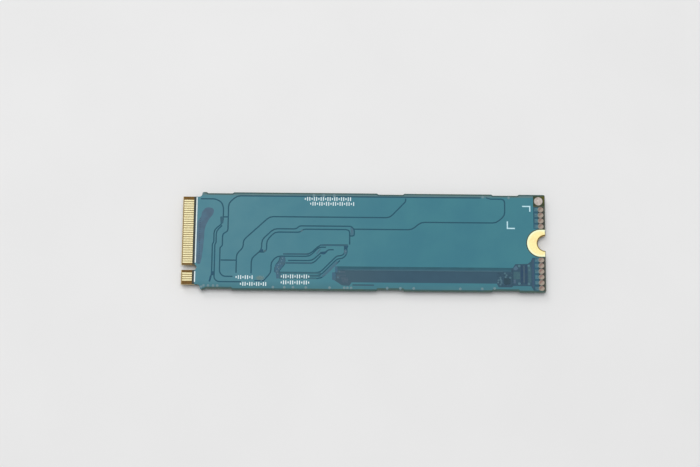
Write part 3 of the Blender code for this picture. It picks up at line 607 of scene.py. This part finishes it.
def addDots(bm, places, radius, low, high, topShare=1.0, sides=12):
    # small round discs, or domes where the top is narrower than the foot
    middle = (low + high) / 2
    for x, y in places:
        bmesh.ops.create_cone(bm, cap_ends=True, segments=sides, radius1=radius * mm,
                              radius2=radius * topShare * mm, depth=high - low,
                              matrix=Matrix.Translation((x * mm, y * mm, middle)))


def addArcBand(bm, centreX, inner, outer, span, steps, low, high):
    # a flat band along an arc that opens to +X
    corners = ((inner * mm, low), (outer * mm, low), (outer * mm, high), (inner * mm, high))
    part = bmesh.new()
    face = part.faces.new([part.verts.new((r, 0.0, z)) for r, z in corners])
    start = math.radians(180 - span / 2)
    bmesh.ops.rotate(part, verts=part.verts, cent=(0, 0, 0), matrix=Matrix.Rotation(start, 3, "Z"))
    bmesh.ops.translate(part, verts=part.verts, vec=(centreX * mm, 0.0, 0.0))
    bmesh.ops.spin(part, geom=[face] + face.verts[:] + face.edges[:], cent=(centreX * mm, 0.0, 0.0),
                   axis=(0, 0, 1), angle=math.radians(span), steps=steps)
    joinTo(bm, part)


overlap = 0.002 * mm  # that a skin reaches into the card
sunkOverlap = 0.01 * mm  # and into the floor of a sunk field


def skin(height):
    # a thin skin on the card's upper face, which also fills any etched gap that it crosses
    return upperFace - gapDepth - overlap, upperFace + height * mm


def sunkSkin(height):
    # the same on the floor of a sunk field
    return upperFace - gapDepth - sunkOverlap, upperFace - gapDepth + height * mm


def backSkin(height):
    return lowerFace - height * mm, lowerFace + overlap


def makeMask(name, finishName, span, fields=(), corner=0.0, lines=(), width=0.0):
    # one piece of mask, from flat patches and lines at one height
    bm = bmesh.new()
    for field in fields:
        addField(bm, field, corner, *span)
    if lines:
        addLines(bm, lines, width, *span)
    keep(name, bm, finishName)


def makeDots(name, finishName, span, places, radius, topShare=1.0, sides=12):
    # one piece of vias under mask, at one height
    bm = bmesh.new()
    addDots(bm, places, radius, *span, topShare=topShare, sides=sides)
    keep(name, bm, finishName)


# Upper face: white marking ink

inkMarks = {
    "lineWidth": 0.25,
    "cornerWidth": 0.27,
    # one line beside the contacts on each side of the key notch
    "borders": (((-36.95, 9.8), (-36.95, -5.1)), ((-37, -7.0), (-37, -9.45))),
    "corners": (((34.95, 8.35), (36.65, 8.35), (36.65, 7.15)), ((31.65, 4.9), (31.65, 3.3), (33.3, 3.3))),
    # plain ticks in place of the printed rows: left end, right end and middle of each row
    "tickRows": ((-27.9, -24.2, -8.25), (-26.9, -21.2, -9.75), (-18.0, -12.0, -8.0),
                 (-18.0, -12.0, -9.35), (-13.0, -2.7, 9.65), (-11.8, -2.0, 8.55)),
    "tickPitch": 0.5,
    "tickWidth": 0.22,
    "tickHeight": 0.85,
    "thickness": 0.018,
}


def tickRoutes(rows, pitch, height):
    # every third tick is short, so that a row reads as a plain scale
    for start, end, middle in rows:
        for place in range(int((end - start) / pitch) + 1):
            tall = height / 2 if place % 3 else height / 4
            x = start + place * pitch
            yield (x, middle - tall), (x, middle + tall)


def makeInk(look):
    low, high = skin(look["thickness"])
    bm = bmesh.new()
    addLines(bm, look["borders"], look["lineWidth"], low, high)
    ticks = tickRoutes(look["tickRows"], look["tickPitch"], look["tickHeight"])
    addLines(bm, ticks, look["tickWidth"], low, high)
    keep("marking_ink_upper", bm, "whiteMarkingInk")
    bm = bmesh.new()
    addLines(bm, look["corners"], look["cornerWidth"], low, high)
    keep("corner_marks_upper", bm, "thinMarkingInk")


# Upper face: where the copper under the mask is etched away, so that the mask turns dark

etchedLook = {
    "thickness": 0.004,
    "wideThickness": 0.005,
    "corner": 0.2,
    "smallCorner": 0.1,
    "fields": (
        ((-33.45, -7.0), (-32.8, -7.0), (-32.8, -7.9), (-33.45, -7.9)),
        ((-22.7, -1.9), (-22.1, -1.9), (-22.1, -2.6), (-23, -2.6)),
        ((-9.6, -2.4), (-8.4, -2.3), (-8, -1.9), (-7.9, -2.3), (-8.6, -3.0), (-9.5, -2.9)),
        ((-4.4, -0.9), (-3.3, -0.9), (-3.7, -1.8), (-4.25, -1.8)),
    ),
    "stripFields": (
        ((-18.2, -3.55), (-17.3, -3.55), (-17.15, -4.9), (-18.4, -6.6), (-18.6, -7.2), (-19.5, -7.2),
         (-19.5, -5.7), (-18.6, -4.7)),
        ((-19.2, -7.2), (-18.2, -7.2), (-17.8, -8.4), (-19.1, -8.5)),
        ((-6.25, -5.66), (-5.7, -5.66), (-5.7, -7.1), (-6.25, -7.1)),
        ((-6.9, -7.0), (-6.1, -7.0), (-6.1, -8.85), (-6.9, -8.65)),
    ),
    "greyFields": (
        ((-9.3, -7.85), (-9.0, -8.1), (-7.8, -7.2), (-6.0, -5.3), (-5.7, -4.75), (-5.85, -4.35)),
        ((-10.5, -2.75), (-9.65, -1.75), (-9.35, -1.75), (-10.2, -2.95)),
        ((-4.3, -1.9), (-3.75, -1.9), (-3.75, -2.9), (-4.3, -2.9)),
        ((-3, 3.2), (-2.55, 3.1), (-2.3, 2.6), (-2.3, 1.45), (-2.9, 1.45), (-2.9, 2.6)),
    ),
    "speckles": ((-17.8, -3.9), (-18, -4.5), (-18.3, -5.2), (-18.7, -5.3), (-18.85, -5.9), (-18.6, -6.3),
                 (-19, -6.8), (-18.8, -7.3), (-3.9, -2.2), (-22.7, -8.0), (-22.3, -8.2), (-21.9, -8.0),
                 (-22.5, -8.6), (-22, -8.7), (-22.4, -8.95), (-21.7, -8.4)),
    "speckleRadius": 0.15,
    "speckleThickness": 0.008,
    "speckleTop": 0.7,  # share of the radius
    "softFields": (((-31.75, 5.45), (-31.0, 5.45), (-31.0, 3.9), (-31.6, 3.7)),),
    "wideLineWidth": 0.36,
    "wideLines": (
        ((-17.7, -2.95), (-12.0, -2.95)),
        ((-17.1, -4.97), (-11.3, -4.97)),
        ((-9.6, -0.87), (-3.5, -0.87)),
    ),
    "bandLines": (
        ((-18.5, -7.23), (-9.3, -7.23)),
        ((-18.5, -7.9), (-9.4, -7.9)),
        ((-18.5, -8.37), (-10.3, -8.37)),
    ),
    "lineWidth": 0.26,
    "lines": (
        ((27, 10.25), (28, 9.95)),
        ((-33.5, -8.0), (-33.8, -9.3)),
        ((-23.9, -9.0), (-22.1, -9.0)),
    ),
}


def makeEtched(look):
    thin, wide = skin(look["thickness"]), skin(look["wideThickness"])
    makeMask("etched_fields_upper", "maskOverLaminate", thin, look["fields"], look["corner"],
             look["lines"], look["lineWidth"])
    makeMask("wide_gaps_upper", "wideGapMask", wide, look["softFields"], look["corner"],
             look["wideLines"], look["wideLineWidth"])
    makeMask("line_bands_upper", "bandMask", wide, lines=look["bandLines"], width=look["wideLineWidth"])
    makeMask("strip_fields_upper", "stripMask", thin, look["stripFields"], look["smallCorner"])
    makeMask("rough_copper_upper", "greyMask", thin, look["greyFields"], look["smallCorner"])
    makeDots("small_vias_upper", "speckMask", skin(look["speckleThickness"]), look["speckles"],
             look["speckleRadius"], look["speckleTop"], sides=8)


# Upper face: the wide dark opening beside the tongue

patchLook = {
    "outline": ((-33.1, 7.1), (-33.9, 7.5), (-34.9, 7.5), (-35.75, 6.5), (-36, 5.2), (-36.7, 4.4),
                (-36.75, 2.0), (-36.75, -5.3), (-35.9, -5.5), (-35.6, -4.0), (-35.35, -2.0), (-35.2, 0.0),
                (-35.1, 2.5), (-34.75, 3.7), (-34.1, 4.9), (-33.2, 6.1)),
    "corner": 0.4,
    "thickness": 0.003,
    "dots": (-36.15, 5.0, -5.0, 0.5),  # x of them all, y of the first and the last, and pitch
    "dotRadius": 0.1,
    "dotThickness": 0.006,
}


def makePatch(look):
    makeMask("inner_opening_upper", "purpleMask", skin(look["thickness"]), [look["outline"]],
             look["corner"])
    x, start, end, pitch = look["dots"]
    places = [(x, start - step * pitch) for step in range(int((start - end) / pitch) + 1)]
    makeDots("contact_vias_upper", "deepMask", skin(look["dotThickness"]), places, look["dotRadius"],
             sides=8)


# Upper face: the data lines along the lower edge and the fan-out at their right end

dataLines = {
    "thickness": 0.01,
    "corner": 0.1,
    "bridgeThickness": 0.005,
    "bridge": ((32.4, -5.67), (32.9, -5.67), (32.85, -9.75), (32.4, -10.0)),
    "greenFields": (
        ((32.85, -6.5), (34.3, -6.5), (34.3, -8.15), (32.85, -8.15)),
        ((36.1, -5.4), (36.75, -5.4), (36.75, -8.9), (36.1, -8.9)),
    ),
    "purpleFields": (
        ((32.7, -5.9), (33.5, -5.05), (33.95, -5.8), (33.4, -6.2)),
        ((32.9, -8.25), (33.35, -8.25), (33.35, -9.1), (32.9, -9.1)),
    ),
    "plumFields": (
        ((35.05, -5.1), (35.35, -5.1), (35.35, -8.9), (35.05, -8.9)),
        ((-6, -6.6), (-4.0, -6.6), (-4.0, -7.1), (-6, -7.1)),
        ((-5.9, -7.5), (-3.9, -7.5), (-3.9, -7.9), (-5.9, -7.9)),
        ((-5.0, -8.1), (-3.4, -8.1), (-3.4, -9.3), (-4.6, -9.3)),
        ((-5.8, -8.0), (-5.2, -8.0), (-5.2, -8.5), (-5.8, -8.5)),
    ),
    "stripes": (((34.7, -5.0), (34.7, -9.2)), ((35.65, -5.0), (35.65, -9.2))),
    "stripeWidth": 0.5,
    "tracks": (((37.25, -3.6), (37.25, -10.1)),),
    "trackWidth": 0.42,
    "darkFields": (((29.3, -6.7), (32.3, -6.7), (32.3, -9.9), (30.2, -9.9), (29.2, -9.1)),),
    "blobCorner": 0.2,
    "blobThickness": 0.014,
    "blob": ((30.8, -7.95), (32.2, -7.95), (32.2, -9.3), (31.0, -9.5), (30.7, -9.2)),
    "ridgeThickness": 0.004,
    "ridge": ((-5.7, -6.15), (32.4, -6.15), (32.4, -6.55), (-5.7, -6.55)),
    "ridgeLine": (((-4, -6.5), (30.6, -6.5)),),
    "ridgeLineWidth": 0.09,
    "ridgeLineThickness": 0.008,
    "paleDots": ((31.0, -6.9), (31.35, -7.3), (31.15, -7.7), (32.15, -7.85), (30.0, -7.85), (30.05, -8.25),
                 (30.2, -8.6), (29.6, -8.45), (29.5, -8.95), (30.25, -9.0), (30.0, -9.4), (36.35, -6.1),
                 (-5.3, -6.8), (-5.6, -8.1)),
    "dotRadius": 0.3,
    "dotThickness": 0.02,
    "domeTop": 0.6,  # share of a dome's radius
    "vias": ((34.15, -5.2), (36.25, -5.15), (34.15, -9.15), (36.25, -9.2)),
    "viaRadius": 0.33,
    "viaThickness": 0.025,
    "upperDots": ((-13.7, 2.35), (-21.8, -2.25)),
}


def makeDataLines(look):
    floor = sunkSkin(look["thickness"])
    for name, fields, finishName in (("green_copper_upper", "greenFields", "greenMask"),
                                     ("purple_copper_upper", "purpleFields", "purpleMask"),
                                     ("plum_copper_upper", "plumFields", "plumMask"),
                                     ("dark_copper_upper", "darkFields", "darkMask")):
        makeMask(name, finishName, floor, look[fields], look["corner"])
    makeMask("darkest_copper_upper", "blobMask", sunkSkin(look["blobThickness"]), [look["blob"]],
             look["blobCorner"])
    makeMask("field_bridge_upper", "darkMask", skin(look["bridgeThickness"]), [look["bridge"]])
    makeMask("deep_stripes_upper", "deepMask", floor, lines=look["stripes"], width=look["stripeWidth"])
    makeMask("end_track_upper", "indigoMask", floor, lines=look["tracks"], width=look["trackWidth"])
    makeMask("data_line_ridge_upper", "ridgeMask", skin(look["ridgeThickness"]), [look["ridge"]])
    bm = bmesh.new()
    addLines(bm, look["ridgeLine"], look["ridgeLineWidth"], *skin(look["ridgeLineThickness"]))
    radius, top = look["dotRadius"], look["domeTop"]
    addDots(bm, look["paleDots"], radius, *sunkSkin(look["dotThickness"]), topShare=top)
    addDots(bm, look["upperDots"], radius, *skin(look["thickness"]), topShare=top)
    keep("copper_under_mask_upper", bm, "paleMask")
    makeDots("fan_out_vias_upper", "legMask", sunkSkin(look["viaThickness"]), look["vias"],
             look["viaRadius"], top)


# Upper face: vias tented with mask along the edges

tentedVias = {
    "radius": 0.42,
    "height": 0.03,
    "domeTop": 0.5,
    # x of each via in the rows at these y
    "rows": {10.4: (26.3,), 10.3: (32,), 10.5: (-11.1, -8.9, -6.6),
             -10.45: (-19.8, -17.3, -15.4, -12.6, -7.4, -4.2, -3.5, -2.7, 5.2, 8.1, 11, 21.2),
             -10.4: (26,), -10.3: (28.7,), -10.2: (-35, -34, -32.9, -32), -10.5: (-35.5,)},
}


def makeVias(look):
    places = [(x, y) for y, row in look["rows"].items() for x in row]
    makeDots("tented_vias_upper", "tentedVia", skin(look["height"]), places, look["radius"],
             look["domeTop"])


# Upper face: the bare strip at the screw end, with the pads' legs and the mask's stops

screwEndLook = {
    "legStart": 37.65,
    "legEnd": 38.8,
    "legWidth": 0.8,
    "legThickness": 0.02,
    "rimRadius": 0.62,
    "rimShift": 0.12,
    "rimThickness": 0.03,
    "markRing": (38.55, 9.55),
    "markRadius": 1.1,
    "markThickness": 0.01,
    # the mask stops a little way out from the ground pad, and between the mark and the test pads
    "groundRadius": 3.05,
    "stopWidth": 0.2,
    "stopThickness": 0.004,
    "arcCentre": 39.0,
    "arcSpan": 180.0,  # degrees
    "arcSteps": 40,
    "straightStart": 38.98,  # on from the arc
    "straightGap": 0.1,  # left at the card's end
    "stopBar": ((37.4, 8.2), (39.75, 8.2), (39.75, 8.5), (37.4, 8.5)),
}


def makeScrewEnd(look):
    rows = [sign * (testPads["first"] + step * testPads["pitch"])
            for sign, count in testPads["counts"].items() for step in range(count)]
    legs = [((look["legStart"], y), (look["legEnd"], y)) for y in rows]
    makeMask("pad_legs_upper", "legMask", sunkSkin(look["legThickness"]), lines=legs,
             width=look["legWidth"])
    rims = bmesh.new()
    places = [(testPads["x"] - look["rimShift"], y) for y in rows]
    addDots(rims, places, look["rimRadius"], *sunkSkin(look["rimThickness"]), sides=20)
    keep("pad_rims_upper", rims, "thinTin")

    stops = bmesh.new()
    addDots(stops, [look["markRing"]], look["markRadius"], *sunkSkin(look["markThickness"]), sides=32)
    span, inner, width = skin(look["stopThickness"]), look["groundRadius"], look["stopWidth"]
    addArcBand(stops, look["arcCentre"], inner, inner + width, look["arcSpan"], look["arcSteps"], *span)
    start, end = look["straightStart"], screwEnd - look["straightGap"]
    straights = [((start, y), (end, y)) for y in (inner + width / 2, -inner - width / 2)]
    addLines(stops, straights, width, *span)
    addField(stops, look["stopBar"], 0.0, *span)
    keep("mask_stops_upper", stops, "darkOpening")


# The torn rim of laminate that lines the screw notch, its brown painted warm as a reflection of the gold

notchLook = {"radius": 1.75, "padRadius": 1.9, "span": 172.0, "steps": 36, "thickness": 0.006}


def makeNotchRim(look):
    bm = bmesh.new()
    addArcBand(bm, screwEnd, look["radius"], look["padRadius"], look["span"], look["steps"],
               *skin(look["thickness"]))
    keep("notch_rim_upper", bm, "notchWall")


# Upper face: the dark margin where the mask runs off the copper along both long edges

marginLook = {
    "width": 0.3,
    "thickness": 0.005,
    "recessDepth": 0.25,
    "recessHalf": 3.1,
    "recessSlant": 0.35,
    "recesses": (-31.8, 5.9, 31.2),  # middles of the shallow recesses in both long edges
    "start": -35.4,
    "end": 39.7,
}


def makeMargins(look):
    bm = bmesh.new()
    inset = longEdge - look["width"] / 2
    floor = inset - look["recessDepth"]
    half, slant = look["recessHalf"], look["recessSlant"]
    for sign in (1, -1):
        route = [(look["start"], sign * inset)]
        for middle in look["recesses"]:
            route += [(middle - half, sign * inset), (middle - half + slant, sign * floor),
                      (middle + half - slant, sign * floor), (middle + half, sign * inset)]
        route.append((look["end"], sign * inset))
        addLines(bm, [route], look["width"], *skin(look["thickness"]))
    keep("mask_margin_upper", bm, "edgeMask")


makeInk(inkMarks)
makeEtched(etchedLook)
makePatch(patchLook)
makeDataLines(dataLines)
makeVias(tentedVias)
makeScrewEnd(screwEndLook)
makeNotchRim(notchLook)
makeMargins(marginLook)
print("upper face dressed")


# Chip side: solder

solderLook = {
    "reach": 0.2,  # mm that a fillet runs out on its land
    "climb": 0.6,  # share of the part's height that it climbs
    "hollow": ((0.45, 0.16), (0.16, 0.5)),  # shares of reach and climb on its hollow face
    "inset": 0.02,  # mm that it reaches into the end cap
    "bite": 0.005,  # and into its land
    "widthShare": 0.96,  # of the end cap's width
    "clipShare": 0.55,  # an inductor's clip, of the part's width
    "clipLand": 0.6,  # mm that its land reaches in
    "landMargin": 0.05,
    "landThickness": 0.018,
}


def addFillet(bm, look, end, across, width, height, sign, alongX):
    # a concave wedge of solder between an end face and its land, drawn as a profile
    # and pushed across the part
    foot = lowerFace - look["landThickness"] * mm
    reach, climb = look["reach"] * mm, look["climb"] * height
    inset, bite = look["inset"] * mm, look["bite"] * mm
    hollow = [(reach * run, foot - climb * rise) for run, rise in look["hollow"]]
    profile = [(-inset, foot + bite), (reach, foot + bite), (reach, foot), *hollow,
               (0.0, foot - climb), (-inset, foot - climb)]
    side = across - width / 2
    dots = []
    for run, z in profile:
        along = end + sign * run
        dots.append(bm.verts.new((along, side, z) if alongX else (side, along, z)))
    grown = bmesh.ops.extrude_face_region(bm, geom=[bm.faces.new(dots)])
    push(bm, grown, (0.0, width, 0.0) if alongX else (width, 0.0, 0.0))


def addLand(bm, low, high):
    # a tinned land, from its lowest to its highest corner
    size = Matrix.Diagonal([*(b - a for a, b in zip(low, high)), 1.0])
    middle = Matrix.Translation([(a + b) / 2 for a, b in zip(low, high)])
    bmesh.ops.create_cube(bm, size=1.0, matrix=middle @ size)


def makeSolder(look):
    fillets, lands = bmesh.new(), bmesh.new()
    margin, reach = look["landMargin"] * mm, look["reach"] * mm
    bottom, top = backSkin(look["landThickness"])
    for node in chipSide:
        kind = kindOfPart(node)
        if kind != "inductor" and kind not in endCaps:
            continue
        low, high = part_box(node)
        size = high - low
        centre = (low + high) / 2
        alongX = size.x > size.y or kind == "inductor"
        length, width = (size.x, size.y) if alongX else (size.y, size.x)
        middle, across = (centre.x, centre.y) if alongX else (centre.y, centre.x)
        if kind == "inductor":
            width *= look["clipShare"]
        for sign in (-1, 1):
            end = middle + sign * length / 2
            addFillet(fillets, look, end, across, width * look["widthShare"], size.z, sign, alongX)
            landDepth = endCaps.get(kind, look["clipLand"]) * mm
            inner, outer = sorted((end - sign * landDepth, end + sign * reach))
            near, far = across - width / 2 - margin, across + width / 2 + margin
            if alongX:
                addLand(lands, (inner, near, bottom), (outer, far, top))
            else:
                addLand(lands, (near, inner, bottom), (far, outer, top))
    keep("solder_fillets_lower", fillets, "brightTin")
    keep("solder_lands_lower", lands, "brightTin")


# Chip side: the balls that show round each package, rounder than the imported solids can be

ballPitches = {
    "controller": 0.8,
    "cache_memory": 0.8,
    "flash_memory_1": 1.0,
    "flash_memory_2": 1.0,
}
ballLook = {
    "margin": 0.6,  # mm, from the package's edge to the outermost balls' centres
    "radius": 0.235,
    "height": 0.25,
    "stretch": 1.3,  # over the gap's height, so that a ball's ends sink into card and package
}


def makeBalls(look):
    bm = bmesh.new()
    height = look["height"] * mm
    shape = Matrix.Diagonal((1.0, 1.0, height * look["stretch"] / (2 * look["radius"] * mm), 1.0))
    for node, pitch in ballPitches.items():
        low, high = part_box(node)
        centre = (low + high) / 2
        room = [side / mm - 2 * look["margin"] for side in (high - low)[:2]]
        columns, rows = (int(length / pitch + 1e-6) + 1 for length in room)
        for column in range(columns):
            for row in range(rows):
                if 0 < column < columns - 1 and 0 < row < rows - 1:
                    continue
                place = Vector((centre.x + (column - (columns - 1) / 2) * pitch * mm,
                                centre.y + (row - (rows - 1) / 2) * pitch * mm,
                                high.z - height / 2))
                bmesh.ops.create_uvsphere(bm, u_segments=12, v_segments=8, radius=look["radius"] * mm,
                                          matrix=Matrix.Translation(place) @ shape)
    keep("solder_balls_lower", bm, "brightTin", smooth=True)


# Chip side: printed corners round the packages, and vias along both long edges

backLook = {
    "markWidth": 0.15,
    "markThickness": 0.015,
    "largeMark": (0.3, 1.2),  # mm off the package's corner, and length of each arm
    "smallMark": (0.12, 0.5),
    "viaRadius": 0.2,
    "viaThickness": 0.03,
    "viaTop": 0.5,  # share of the radius at the dome's top, which points down here
    "viaPitch": 2.6,
    "viaInset": 0.55,
    "viaStart": 6,  # mm from the tongue's end
    "viaStop": 2,  # mm from the card's other end
}


def makeBackFace(look):
    ink = bmesh.new()
    for node in chipSide:
        kind = kindOfPart(node)
        if kind not in ("ballGrid", "moulded", "crystal"):
            continue
        boxLow, boxHigh = (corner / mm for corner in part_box(node))
        gap, reach = look["largeMark" if kind == "ballGrid" else "smallMark"]
        routes = []
        for sx, x in ((1, boxLow.x - gap), (-1, boxHigh.x + gap)):
            for sy, y in ((1, boxLow.y - gap), (-1, boxHigh.y + gap)):
                routes.append(((x + sx * reach, y), (x, y), (x, y + sy * reach)))
        addLines(ink, routes, look["markWidth"], *backSkin(look["markThickness"]))
    keep("marking_ink_lower", ink, "whiteMarkingInk")

    first = tongueEnd + look["viaStart"]
    count = int((screwEnd - look["viaStop"] - first) / look["viaPitch"])
    edges = [sign * (longEdge - look["viaInset"]) for sign in (-1, 1)]
    places = [(first + step * look["viaPitch"], y) for step in range(count) for y in edges]
    makeDots("tented_vias_lower", "tentedVia", backSkin(look["viaThickness"]), places,
             look["viaRadius"] * look["viaTop"], 1 / look["viaTop"])


makeSolder(solderLook)
makeBalls(ballLook)
makeBackFace(backLook)
print("chip side dressed")


# Floor and light

stageLook = {
    "floor": ("e7e7e7", "e5e5e5", 30.0),  # pale paper, in patches of 30 mm
    "floorSize": 4.0,  # m
    "floorDrop": 0.01,  # mm under the card's chips
    "floorRoughness": 0.9,
    "sky": "ffffff",
    "skyStrength": 0.372,  # as a light; the camera and gloss see it at full strength
    # two soft lamps: place in m, width in m, power in W, and whether gloss shows them
    "lamps": {
        "overheadSoftbox": ((-0.02, 0.105, 1.0), 0.5, 5.85, False),
        "rearSoftbox": ((-0.35, 0.6, 0.8), 0.4, 1.75, True),
    },
}


def makeStage(look):
    bm = bmesh.new()
    bmesh.ops.create_grid(bm, x_segments=1, y_segments=1, size=look["floorSize"] / 2,
                          matrix=Matrix.Translation((0.0, 0.0, -look["floorDrop"] * mm)))
    floor = addToScene("floor", asMesh("floor", bm))
    material, tree, coords = startMaterial("palePaper")
    colour, grain = mottled(tree, coords, *look["floor"])
    paper = finish(material, colour, look["floorRoughness"], bump=grain, strength=0.05, depth=0.1)
    floor.data.materials.append(paper)

    world = bpy.data.worlds.new("studio")
    bpy.context.scene.world = world
    world.use_nodes = True
    tree = world.node_tree
    sky = tree.nodes["Background"]
    rays = addNode(tree, "LightPath").node.outputs
    seen = rays["Is Camera Ray"]
    for ray in ("Is Glossy Ray", "Is Transmission Ray"):
        seen = addNode(tree, "Math", {0: seen, 1: rays[ray]}, operation="MAXIMUM")
    strength = stepped(tree, look["skyStrength"], [(seen, 1.0)])
    wire(sky, {"Color": linear(look["sky"]), "Strength": strength})

    for name, (place, width, power, inGloss) in look["lamps"].items():
        data = bpy.data.lights.new(name, "AREA")
        data.size = width
        data.energy = power
        lamp = addToScene(name, data)
        turned = Vector(place).to_track_quat("Z", "Y").to_matrix().to_4x4()
        lamp.matrix_world = Matrix.Translation(place) @ turned
        lamp.visible_glossy = inGloss


makeStage(stageLook)
bpy.context.scene.view_settings.view_transform = "Standard"
print("stage set")
